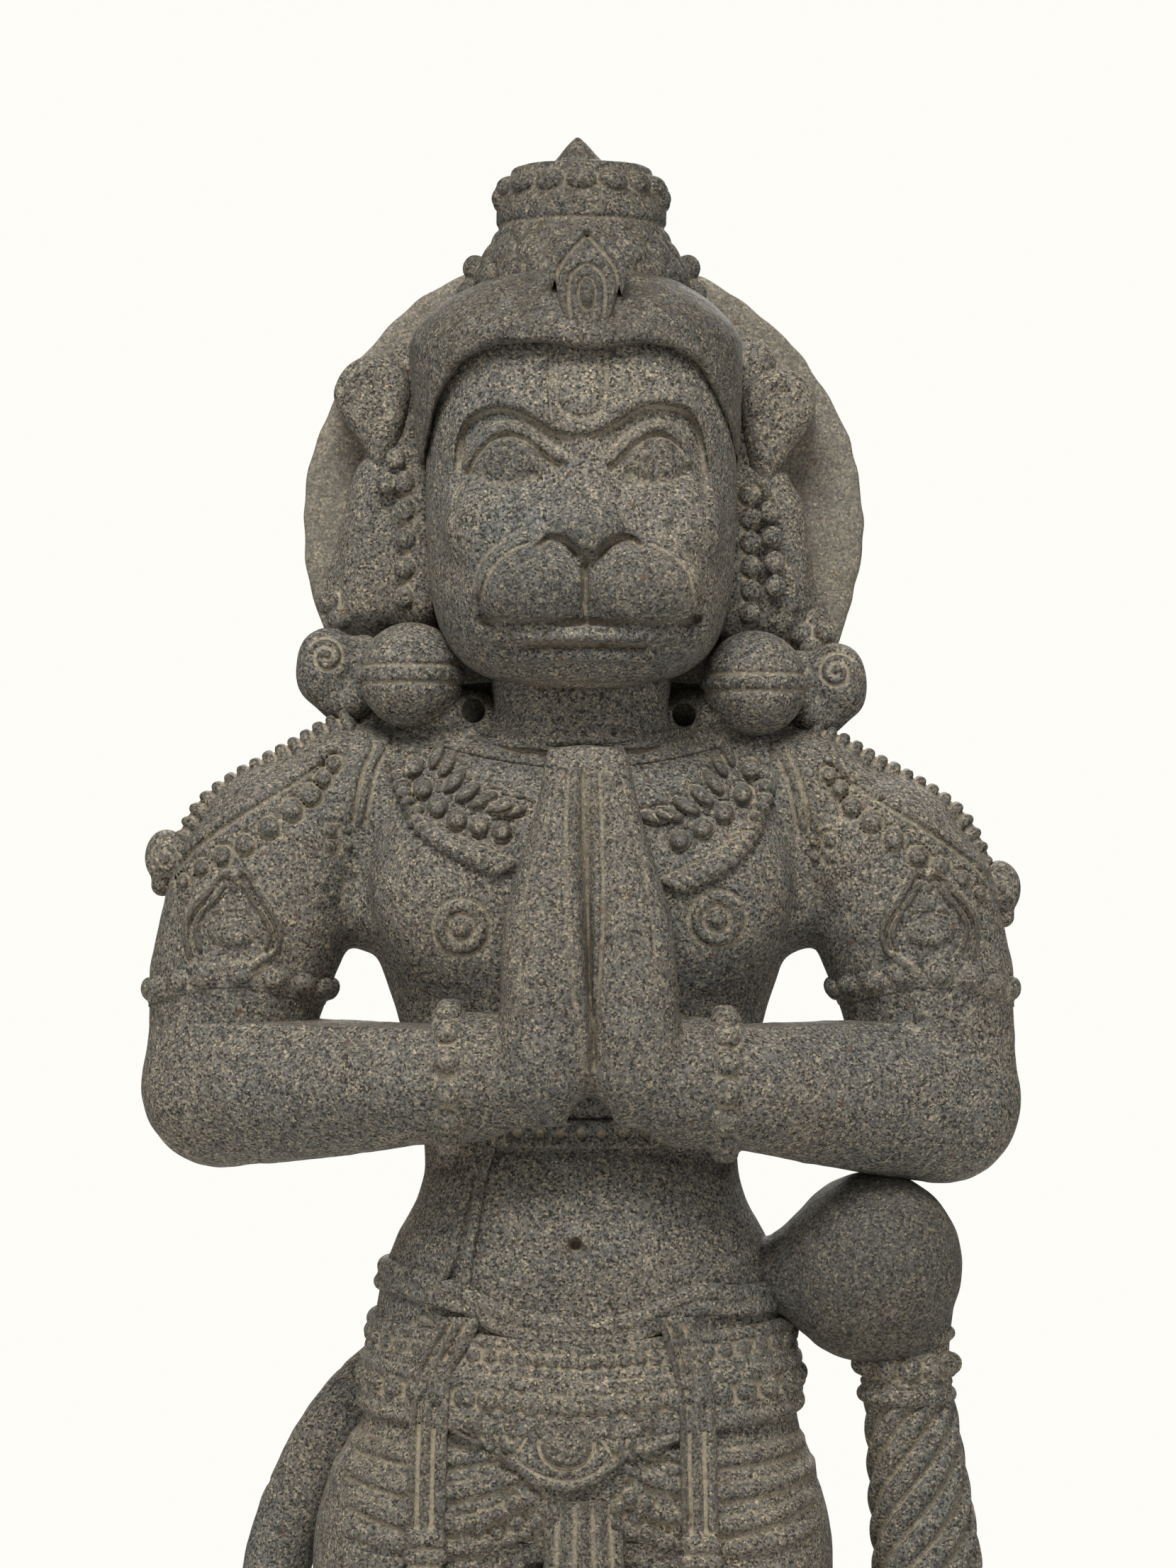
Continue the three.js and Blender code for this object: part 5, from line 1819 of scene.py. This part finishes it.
def thigh(side):
    s = SIDES[side]
    hem = B[f"dhoti_hem_{side}"].mid[2]
    lo = (-200, -130, hem - 6) if s < 0 else (-4, -130, hem - 6)
    hi = (4, 100, WAIST - 178) if s < 0 else (200, 100, WAIST - 178)
    field = hip_field(lo, hi, 2.6)
    field.keep(lambda x, y, z: -s * x - 1)
    leg_beads(field, s, WAIST - 196)
    cloth_folds(field, s, hem + 24, WAIST - 216)
    leg_beads(field, s, WAIST - 330, 8)
    # Folds on the back of the leg.
    for z in np.arange(WAIST - 200, hem + 20, -26.0):
        line = field.cast(
            [(THIGH_X[s] + dx, 140, z - 8 * (1 - (dx / 60) ** 2)) for dx in np.linspace(-56, 56, 17)],
            (0, -1, 0), 200
        )
        field.add(chain(line, 3.2), 6)
    return carve(f"thigh_{side}", field, SMOOTH, rough=0.6)


def sash_path():
    """The upper edge of the waist's rope as seen: low on the belly, high on the hips."""
    z = WAIST
    return [
        (-150, z + 19), (-128, z + 12), (-104, z + 4), (-84, z - 2), (-70, z - 10), (-50, z - 19),
        (-18, z - 25), (20, z - 26.5), (48, z - 18), (72, z - 6), (88, z - 2), (112, z - 4), (134, z + 1),
        (150, z + 8)
    ]


def waist_sash():
    """Two ropes side by side round the waist, dipping under the belly."""
    z = WAIST
    field = hip_field((-178, -150, z - 66), (178, 118, z + 40), 1.9)
    for shape, k in TRUNK[:1]:
        field.add(shape, k)
    front = on_front(field, curve(sash_path(), 90))
    front = front[front[:, 1] < -14]
    a = math.atan2(front[-1, 1] + 8, front[-1, 0])
    b = math.atan2(front[0, 1] + 8, front[0, 0]) + 2 * math.pi
    za, zb = front[-1, 2], front[0, 2]
    back = around(
        field, lambda t: za + (zb - za) * (t - a) / (b - a), middle=(0, -8), count=60, start=a, stop=b
    )
    ring = np.vstack([front, back])
    rope = Field(field.lo + 5, field.lo + field.cell * field.n - 8, 1.7)
    rope.add(chain(np.vstack([ring, ring[:1]]), 6.2), 0)
    lower = ring.copy()
    lower[:, 2] -= 11.5
    ways = -slopes(field, ring)
    ways[:, 2] = 0
    ways /= np.linalg.norm(ways, axis=1)[:, None]
    lower = field.cast(lower - ways * 24, ways, 60)
    rope.add(chain(np.vstack([lower, lower[:1]]), 5.6), 1)
    between = (ring + lower) / 2
    rope.add(chain(np.vstack([between, between[:1]]), 3.5), 3)
    return carve("waist_sash", rope, SMOOTH, rough=0.5)


def belt():
    """A deep jewelled belt: small beads above a ledge, big beads under it, a double line below."""
    z0 = WAIST - 64
    field = hip_field((-180, -150, z0 - 44), (180, 122, z0 + 48), 1.9)

    def line_at(dz):
        """Heights round the body, lower in front."""
        return lambda t: z0 + dz + 10 * (0.5 + 0.5 * math.sin(t)) + 5 * abs(math.cos(t))

    def region(x, y, z):
        t = np.arctan2(y + 8, x)
        rise = 10 * (0.5 + 0.5 * np.sin(t)) + 5 * np.abs(np.cos(t))
        return np.abs(z - (z0 - 2) - rise) - 30

    skin = shell(field, 3.2, region)
    ledge = around(field, line_at(0), middle=(0, -8), count=110)
    skin.add(chain(ledge + slopes(field, ledge) * 1.5, 6.4), 2)
    for dz, r in ((28, 3.4), (9, 2.6), (-22, 3.2), (-30, 3.6)):
        trim = around(field, line_at(dz), middle=(0, -8), count=110)
        skin.add(chain(trim + slopes(field, trim) * 1.2, r + 1.8), 1)
    small = around(field, line_at(18.5), middle=(0, -8), count=61)[:-1]
    big = around(field, line_at(-11.5), middle=(0, -8), count=47)[:-1]
    studs(skin, small + slopes(field, small) * 3.0, 5.6, flat=0.8, k=0.3)
    studs(skin, big + slopes(field, big) * 3.6, 8.2, flat=0.85, k=0.3)
    return carve("belt", skin, CARVED, rough=0.35)


def belt_plaque():
    """A pointed plaque under the belt: an oval jewel between leaf scrolls."""
    z = WAIST + 3
    edge = [
        (-92, z - 98), (-92, z - 106), (-57, z - 122), (-34, z - 141), (-10, z - 146), (10, z - 141),
        (26, z - 128), (68, z - 111), (70, z - 98)
    ]
    field = hip_field((-100, -150, z - 152), (80, -10, z - 84), 1.6)
    xs, zs = np.array([sight(x, zz, -105)[[0, 2]] for x, zz in edge]).T

    def region(x, y, zg):
        low = np.interp(x.ravel(), xs[1:-1], zs[1:-1]).reshape(x.shape)
        return np.maximum(
            np.maximum((low - zg) * 0.8, zg - (z - 90)),
            np.maximum(np.maximum(xs[0] - x, x - xs[-1]), y + 20)
        )

    skin = shell(field, 6.5, region, depth=8)
    emboss(
        skin,
        [
            (-86, z - 102), (-57, z - 117), (-33, z - 134), (-10, z - 140), (9, z - 135), (24, z - 123),
            (64, z - 106)
        ],
        3.0, -1.6
    )
    stamp(skin, (-10.5, z - 114), (21, 19), -2.2, edge=0.12)
    stamp(skin, (-10.5, z - 114), (18, 16), 4.2, edge=0.5)
    turn = np.linspace(0.3, math.pi - 0.3, 17)
    emboss(
        skin, [(-10.5 + 13 * math.cos(t + math.pi), z - 113 + 11 * math.sin(t + math.pi)) for t in turn],
        2.2, -1.4
    )
    for s, m in ((RIGHT, -10.5), (LEFT, -10.5)):
        w = 1.0 if s < 0 else 0.88
        leaf = [
            (m + s * 24 * w, z - 98), (m + s * 30 * w, z - 112), (m + s * 38 * w, z - 122),
            (m + s * 46 * w, z - 118), (m + s * 50 * w, z - 104), (m + s * 46 * w, z - 96)
        ]
        emboss(skin, leaf, 2.8, -1.8)
        emboss(
            skin,
            [
                (m + s * 31 * w, z - 100), (m + s * 36 * w, z - 112), (m + s * 42 * w, z - 110),
                (m + s * 42 * w, z - 100)
            ],
            2.6, -1.5
        )
        emboss(
            skin,
            [
                (m + s * 56 * w, z - 96), (m + s * 60 * w, z - 108), (m + s * 72 * w, z - 106),
                (m + s * 76 * w, z - 98)
            ],
            2.6, -1.7
        )
        stamp(skin, (m + s * 66 * w, z - 100), (7, 4), 2.0, edge=0.8)
    return carve("belt_plaque", skin, CARVED, rough=0.35)


STRAPS = {
    "right": (
        [(-86, -26), (-94, -40), (-103, -56), (-107, -80), (-109, -120), (-110, -168)],
        [12, 12, 13, 13, 14, 15]
    ),
    "left": ([(68, -26), (74, -44), (79, -64), (82, -90), (83, -130), (84, -172)], [9, 10, 11, 13, 14, 15]),
}


def sash_strap(side):
    """A long band of folded cloth hanging over the belt, with a tassel at its end."""
    path, half = STRAPS[side]
    path = [(x, z + WAIST) for x, z in path]
    end = path[-1]
    field = hip_field(
        (min(x for x, _ in path) - 30, -150, end[1] - 42),
        (max(x for x, _ in path) + 30, -10, path[0][1] + 8), 1.6
    )
    line = np.array([sight(x, z, -104) for x, z in curve(path, 40)])
    wide = float(np.mean(half))
    near = line_map(line, wide + 12)

    def region(x, y, z):
        flat = near(x[:, 0, :], z[0]) - wide
        both = np.maximum(flat, end[1] - 4 - z[0])
        return np.maximum(np.broadcast_to(both[:, None, :], np.broadcast(x, y, z).shape), y + 8)

    skin = shell(field, 6.5, region, depth=10)
    for dx, h, w in ((-10.5, 1.6, 3.4), (10.5, 1.6, 3.4), (-6.4, -2.0, 2.6), (-1, 1.2, 4), (4, -2.0, 2.6)):
        emboss(skin, [(x + dx, z) for x, z in path], w, h)
    # The tassel: a knot, then two rows of long beads.
    x, z = end
    c = on_front(field, [(x, z - 8)])[0]
    for dz, r, w in ((0, 6.5, 15), (-12, 6.0, 16), (-23, 5.5, 14)):
        skin.add(rod(c + (-w + r, -6, dz), c + (w - r, -6, dz), r), 1.0)
    return carve(f"sash_strap_{side}", skin, CARVED, rough=0.35)


def centre_pleat():
    """The pleated end of the cloth between the legs, widening to a stepped hem."""
    box = B["centre_pleat"]
    top, low = WAIST - 140, box.lo[2]
    field = Field((-66, -150, low - 4), (70, -40, top + 4), 2.0)

    def cloth(x, y, z):
        t = np.clip((top - z) / (top - low), 0, 1)
        half = 26 + 30 * t
        u = x - 2
        pleat = 2.2 * np.cos(u / half * 14.0) + 2.0 * np.cos(u / half * 4.5)
        front = -104 + 12 * t - 9 * (1 - (u / half) ** 2) - pleat
        flare = np.abs(u) - half - 1.5 * np.sin(z / 9)
        hem = low + 9 * np.abs(((u / half * 3.0) % 1.0) - 0.5) * 2 + np.abs(u) * 0.25
        return np.maximum(
            np.maximum(flare * 0.9, (front - y) * 0.75),
            np.maximum(np.maximum(y - front - 50, hem - z), z - top)
        )

    field.add(Shape((-62, -140, low), (66, -50, top), cloth))
    return carve("centre_pleat", field, CARVED, rough=0.4)


# ---- Lower legs, feet and base -------------------------------------------------------------------


def dhoti_hem(side):
    box = B[f"dhoti_hem_{side}"]
    c = box.mid
    a, b = box.size[0] / 2 - 5, box.size[1] / 2 - 5
    field = Field(box.lo - 8, box.hi + 8, 2.0)
    field.add(column([[c[2] - 15, a, b, c[1]], [c[2] + 15, a + 1, b + 1, c[1]]], x=c[0], soft=False), 0)
    for dz in (-11, 11):
        field.add(ring_line(c[0], c[1], c[2] + dz, a, b, 4.4, count=60), 1)
    for t in np.arange(28) * 2 * math.pi / 28:
        p = (c[0] + (a + 1) * math.cos(t), c[1] + (b + 1) * math.sin(t), c[2])
        n = np.array((math.cos(t) * b, math.sin(t) * a, 0))
        n /= np.linalg.norm(n)
        field.add(turned_ball(p, (6.4, 6.4, 5.0), ((-n[1], n[0], 0), (0, 0, 1), n)), 0.6)
    return carve(f"dhoti_hem_{side}", field, CARVED, rough=0.4)


def lower_leg(side):
    box = B[f"lower_leg_{side}"]
    s = SIDES[side]
    top, low = box.hi[2], box.lo[2]
    cx = box.mid[0]
    rows = [
        [top + 4, 50, 54, 8],
        [top - 30, 52, 57, 10],
        [top - 70, 50, 56, 12],
        [top - 110, 43, 48, 10],
        [top - 150, 37, 42, 8],
        [low, 37, 44, 6],
    ]
    field = Field((cx - 66, -60, low - 10), (cx + 66, 84, top + 6), 2.6)
    field.add(column([[z, a, b, y] for z, a, b, y in rows], x=cx, power=2.15), 0)
    field.add(rod((cx + s * 4, -38, top - 10), (cx + s * 2, -30, top - 110), 14, 9), 26)
    field.add(ball((cx - s * 37, 4, low + 12), (12, 13, 14)), 10)
    field.add(ball((cx + s * 37, 8, low + 8), (12, 13, 14)), 10)
    return carve(f"lower_leg_{side}", field, SMOOTH, rough=0.6)


def anklet(side):
    box = B[f"anklet_{side}"]
    c = box.mid
    a, b = box.size[0] / 2 - 6, box.size[1] / 2 - 6
    field = Field(box.lo - 10, box.hi + 8, 1.8)
    field.add(ring_line(c[0], c[1], c[2] + 6, a, b, 6.5), 0)
    field.add(ring_line(c[0], c[1], c[2] - 3, a, b, 5.0), 1)
    for t in np.arange(20) * 2 * math.pi / 20:
        field.add(
            ball(
                (c[0] + (a + 2.5) * math.cos(t), c[1] + (b + 2.5) * math.sin(t), c[2] - 6), (5.4, 5.4, 6.5)
            ),
            0.8
        )
    return carve(f"anklet_{side}", field, CARVED, rough=0.3)


def foot(side):
    """A bare foot, toes a little out, each toe with its nail."""
    s = SIDES[side]
    box = B[f"foot_{side}"]
    cx = box.mid[0]
    base = BASE_TOP - 2
    out = s * 0.10
    field = Field(
        (box.lo[0] - 10, box.lo[1] - 12, base - 4), (box.hi[0] + 10, box.hi[1] + 6, box.hi[2] + 10), 2.0
    )

    def at(x, y, z):
        return (cx + x * s + (-y - 10) * out * 0.6, y, base + z)

    field.add(ball(at(0, 26, 16), (33, 30, 20)), 0)
    field.add(ball(at(0, 6, 24), (35, 40, 26)), 14)
    field.add(chain([at(-2, 0, 34), at(-2, -36, 22), at(0, -72, 12)], [30, 27, 17]), 14)
    field.add(chain([at(-14, -30, 14), at(-18, -72, 12)], [20, 16]), 12)
    field.add(chain([at(12, -20, 12), at(20, -62, 10)], [18, 13]), 12)
    toes = ((-21, -102, 12.5, 13), (-5, -104, 9, 11), (8, -99, 8.2, 10), (20, -91, 7.6, 9), (31, -81, 7.0, 8))
    for x, y, r, h in toes:
        field.add(rod(at(x * 0.9, y + 34, h + 1), at(x, y, h - 1), r, r * 0.95), 3)
        field.add(ball(at(x, y - 1, h - 1), (r, r * 1.15, r * 0.9)), 2)
        field.cut(ball(at(x, y - r * 0.7, h + r * 0.55), (r * 0.62, r * 0.55, r * 0.34)), 1)
    field.keep(lambda x, y, z: base - z + 0 * x + 0 * y)
    return carve(f"foot_{side}", field, SMOOTH, rough=0.4)


def lotus_base():
    """An oval of lotus petals, a row turned down and a row turned up, either side of a beaded waist."""
    box = B["lotus_base"]
    low, top = box.lo[2], box.hi[2]
    a, b = box.size[0] / 2, box.size[1] / 2
    field = Field(box.lo - 8, box.hi + 4, 3.0)
    field.add(
        column(
            [
                [low, a - 8, b - 8, 0], [low + 14, a - 10, b - 10, 0], [low + 29, a - 22, b - 22, 0],
                [low + 44, a - 12, b - 12, 0], [top - 5, a - 6, b - 6, 0], [top, a - 10, b - 10, 0]
            ],
            power=2.3
        ),
        0
    )
    count = 34
    turns = np.linspace(0, 2 * math.pi, 721)
    ring = np.stack(
        [
            (a - 13) * np.sign(np.cos(turns)) * np.abs(np.cos(turns)) ** 0.87,
            (b - 13) * np.sign(np.sin(turns)) * np.abs(np.sin(turns)) ** 0.87
        ],
        1
    )
    run = np.concatenate([[0], np.cumsum(np.linalg.norm(np.diff(ring, axis=0), axis=1))])
    for row, (z, lean, tall) in enumerate(((low + 15, -0.35, 16), (top - 15, 0.35, 16))):
        for i in range(count):
            want = (i + 0.5 * row) / count * run[-1]
            p = np.array([np.interp(want, run, ring[:, 0]), np.interp(want, run, ring[:, 1])])
            q = np.array(
                [
                    np.interp((want + 2) % run[-1], run, ring[:, 0]),
                    np.interp((want + 2) % run[-1], run, ring[:, 1])
                ]
            )
            t = np.append((q - p) / np.linalg.norm(q - p), 0)
            n = np.array((t[1], -t[0], 0))
            up = np.array((n[0] * lean, n[1] * lean, 1))
            up /= np.linalg.norm(up)
            front = np.cross(t, up)
            place = np.array((p[0], p[1], z))
            field.add(turned_ball(place + n * 2, (21, 9, tall), (t, front, up)), 1.5)
            field.add(turned_ball(place + n * 8, (11, 5, tall * 0.62), (t, front, up)), 2)
    beads = 84
    for i in range(beads):
        want = i / beads * run[-1]
        x, y = np.interp(want, run, ring[:, 0]), np.interp(want, run, ring[:, 1])
        field.add(ball((x * 0.985, y * 0.975, low + 29), 6.2), 1)
    field.keep(lambda x, y, z: z - top)
    return carve("lotus_base", field, CARVED, rough=0.8)


def plinth():
    box = B["plinth"]
    lo, hi = box.lo, box.hi
    field = Field(lo - 2, hi + 2, 4.5)
    field.add(block(lo, hi, 5), 0)
    inset = 9
    middle = (lo[2] + hi[2]) / 2
    for x0, y0, x1, y1 in (
        (lo[0], lo[1], hi[0], lo[1]),
        (lo[0], hi[1], hi[0], hi[1]),
        (lo[0], lo[1], lo[0], hi[1]),
        (hi[0], lo[1], hi[0], hi[1]),
    ):
        field.cut(rod((x0, y0, middle + 6), (x1, y1, middle + 6), inset), 3)
    return carve("plinth", field, SMOOTH, rough=1.2)


# ---- Mace and tail -------------------------------------------------------------------------------


def mace_head():
    """An egg-shaped head whose inner side runs into the hip."""
    box = B["mace_head"]
    c = np.array((207.0, -34.0, box.mid[2] - 9))
    field = Field((104, -112, c[2] - 78), (282, 46, c[2] + 74), 2.3)
    field.add(ball(c, (63, 66, 66)), 0)
    field.add(ball(c + (-6, 0, -20), (52, 56, 46)), 10)
    neck = B["mace_collar"]
    field.add(rod(c + (10, 0, -26), (neck.mid[0] - 1, neck.mid[1], neck.hi[2] - 8), 44, 32), 12)
    field.add(rod((118, -26, WAIST + 4), (166, -32, WAIST + 12), 26, 30), 20)
    field.keep(lambda x, y, z: 110 - x)
    # Tint darkens the whole head: partly the stone's darker tone, partly painted shade for the forearm's
    # shadow on it.
    return carve("mace_head", field, SMOOTH, rough=0.8, tint=lambda x, y, z: 0.42 + 0 * x)


def mace_x(z):
    return 230 + (WAIST - 57 - z) * 0.11


def mace_collar():
    box = B["mace_collar"]
    z0, z1 = box.lo[2], box.hi[2]
    c = box.mid
    field = Field(box.lo - 8, box.hi + (8, 8, 4), 1.7)
    field.add(column([[z0 - 2, 29, 29, c[1]], [z1, 31, 31, c[1]]], x=c[0], soft=False), 0)
    for z, r in ((z1 - 7, 4.6), (z0 + 5, 5.6), (z0 + 14, 3)):
        field.add(ring_line(c[0], c[1], z, 30, 30, r), 1)
    for t in np.arange(12) * 2 * math.pi / 12 - math.pi / 2:
        field.add(ball((c[0] + 31 * math.cos(t), c[1] + 31 * math.sin(t), z0 + 26), (8.6, 6.5, 8.6)), 0.6)
    return carve("mace_collar", field, CARVED, rough=0.35)


def mace_shaft():
    """A swelling shaft cut with spiral flutes."""
    box = B["mace_shaft"]
    z0, z1 = box.lo[2], box.hi[2]
    y0 = box.mid[1]
    field = Field((box.lo[0] - 10, box.lo[1] - 6, z0 - 6), (box.hi[0] + 10, box.hi[1] + 6, z1 + 4), 2.1)

    def shaft(x, y, z):
        t = np.clip((z1 - z) / (z1 - z0), 0, 1)
        r = 30 + 9 * np.sin(np.pi * np.clip(t * 1.05, 0, 1)) + 3 * t
        dx, dy = x - mace_x(z), y - y0
        turn = np.arctan2(dy, dx) * 9 - z * 0.26
        flute = 7.5 * np.abs(np.cos(turn / 2)) ** 0.8 - 5.0
        return np.maximum(np.sqrt(dx * dx + dy * dy) - r - flute, np.maximum(z0 - z, z - z1)) * 0.85

    field.add(Shape((box.lo[0] - 6, box.lo[1] - 4, z0), (box.hi[0] + 6, box.hi[1] + 4, z1), shaft))
    return carve("mace_shaft", field, SMOOTH, rough=0.4)


def mace_foot():
    box = B["mace_foot"]
    z0, z1 = box.lo[2], box.hi[2]
    cx, cy = box.mid[0], box.mid[1]
    field = Field(box.lo - 8, box.hi + (8, 8, 6), 2.2)
    rows = [
        [z0 - 2, 34, 34, cy], [z0 + 14, 37, 37, cy], [z0 + 30, 26, 26, cy], [z0 + 60, 24, 24, cy],
        [z1 - 22, 33, 33, cy], [z1 + 2, 34, 34, cy]
    ]
    field.add(column(rows, x=cx), 0)
    for z, a, r in ((z0 + 16, 36, 4.5), (z0 + 34, 26, 4), (z1 - 18, 32, 4.5), (z1 - 6, 33, 4)):
        field.add(ring_line(cx, cy, z, a, a, r), 1)
    for t in np.arange(12) * 2 * math.pi / 12:
        field.add(ball((cx + 25 * math.cos(t), cy + 25 * math.sin(t), z0 + 47), (7, 7, 10)), 1)
    return carve("mace_foot", field, CARVED, rough=0.4)


TAIL = [
    (-20, 84, -70), (-96, 84, -58), (-150, 62, -84), (-192, 44, -136), (-222, 34, -218), (-232, 34, -350),
    (-216, 44, -490), (-198, 56, -600), (-188, 62, -668)
]


def tail():
    path = [(x, y, WAIST + z) for x, y, z in TAIL]
    rows = curve(path, 70)
    radii = np.interp(np.linspace(0, 1, 70), [0, 0.15, 0.5, 1.0], [26, 27, 24, 17])
    lo, hi = rows.min(0) - 32, rows.max(0) + 32
    field = Field(lo, hi, 3.0)
    field.add(chain(rows, radii), 0)
    field.keep(lambda x, y, z: BASE_TOP - 2 - z + 0 * x + 0 * y)
    # Rings cut round it.
    for i in range(6, 62, 8):
        t = rows[i + 1] - rows[i]
        t /= np.linalg.norm(t)
        u = np.cross(t, (0, 1, 0.001))
        u /= np.linalg.norm(u)
        v = np.cross(t, u)
        angles = np.linspace(0, 2 * math.pi, 25)
        ring = [rows[i] + radii[i] * (math.cos(a) * u + math.sin(a) * v) for a in angles]
        field.cut(chain(ring, 1.4), 2)
    return carve("tail", field, SMOOTH, rough=0.8)
# ---- Camera, light and floor ---------------------------------------------------------------------


def camera():
    """Level with the collar, straight in front, framed from above the crown to the thighs."""
    data = bpy.data.cameras.new("camera")
    eye = bpy.data.objects.new("camera", data)
    bpy.context.scene.collection.objects.link(eye)
    seen_height = 1.106
    eye.location = EYE * MM
    eye.rotation_euler = (math.pi / 2, 0, 0)
    data.sensor_width = 36
    data.lens = 36 * (FRONT - EYE[1]) * MM / seen_height
    data.clip_end = 50
    bpy.context.scene.camera = eye


def lamp(name, place, target, size, power):
    data = bpy.data.lights.new(name, "AREA")
    data.shape = "RECTANGLE"
    data.size, data.size_y = size
    data.energy = power
    light = bpy.data.objects.new(name, data)
    light.location = place
    way = Vector(target) - Vector(place)
    light.rotation_euler = way.to_track_quat("-Z", "Y").to_euler()
    bpy.context.scene.collection.objects.link(light)


def studio():
    """A pale room: what the camera sees of it is near white, what lights the stone is dimmer."""
    world = bpy.data.worlds.new("studio")
    bpy.context.scene.world = world
    world.use_nodes = True
    tree = world.node_tree
    tree.nodes.clear()
    seen = tree.nodes.new("ShaderNodeBackground")
    seen.inputs[0].default_value = (0.991, 0.982, 0.939, 1)
    lit = tree.nodes.new("ShaderNodeBackground")
    lit.inputs[0].default_value = (1, 1, 1, 1)
    lit.inputs[1].default_value = 0.22
    path = tree.nodes.new("ShaderNodeLightPath")
    blend = tree.nodes.new("ShaderNodeMixShader")
    out = tree.nodes.new("ShaderNodeOutputWorld")
    tree.links.new(path.outputs["Is Camera Ray"], blend.inputs[0])
    tree.links.new(lit.outputs[0], blend.inputs[1])
    tree.links.new(seen.outputs[0], blend.inputs[2])
    tree.links.new(blend.outputs[0], out.inputs[0])
    chest = (0, 0, 1.15)
    lamp("key", (-0.2, -1.75, 3.3), chest, (1.3, 0.9), 76)
    lamp("left_fill", (2.4, -1.9, 1.9), chest, (1.0, 1.8), 17)
    lamp("right_fill", (-2.4, -1.9, 1.9), chest, (1.0, 1.8), 19)
    lamp("back", (0.3, 2.4, 2.7), chest, (1.6, 1.0), 120)
    bpy.context.scene.view_settings.view_transform = "Standard"


def floor():
    mesh = bpy.data.meshes.new("floor")
    turn = np.linspace(0, 2 * math.pi, 64, endpoint=False)
    ring = [(2.4 * math.cos(t), 2.4 * math.sin(t), 0) for t in turn]
    mesh.from_pydata(ring, [], [list(range(64))])
    material = bpy.data.materials.new("pale_floor")
    material.use_nodes = True
    shader = material.node_tree.nodes["Principled BSDF"]
    shader.inputs["Base Color"].default_value = (0.8, 0.79, 0.76, 1)
    shader.inputs["Roughness"].default_value = 0.9
    mesh.materials.append(material)
    plane = bpy.data.objects.new("floor", mesh)
    bpy.context.scene.collection.objects.link(plane)


camera()
studio()
floor()
head()
neck()
headband()
cap()
crown_base()
crown_drum()
finial()
crest_leaf()
halo()
for side in SIDES:
    ear(side)
    bead_strand(side)
    ball_earring(side)
    scroll_knob(side)
    upper_arm(side)
    armlet(side)
    forearm(side)
    bracelet(side)
    shoulder_ribbon(side)
    shoulder_knob(side)
    garland(side)
    thigh(side)
    sash_strap(side)
    dhoti_hem(side)
    lower_leg(side)
    anklet(side)
    foot(side)
torso()
joined_hands()
collar()
chest_band()
sacred_thread()
hips()
waist_sash()
belt()
belt_plaque()
centre_pleat()
lotus_base()
plinth()
mace_head()
mace_collar()
mace_shaft()
mace_foot()
tail()
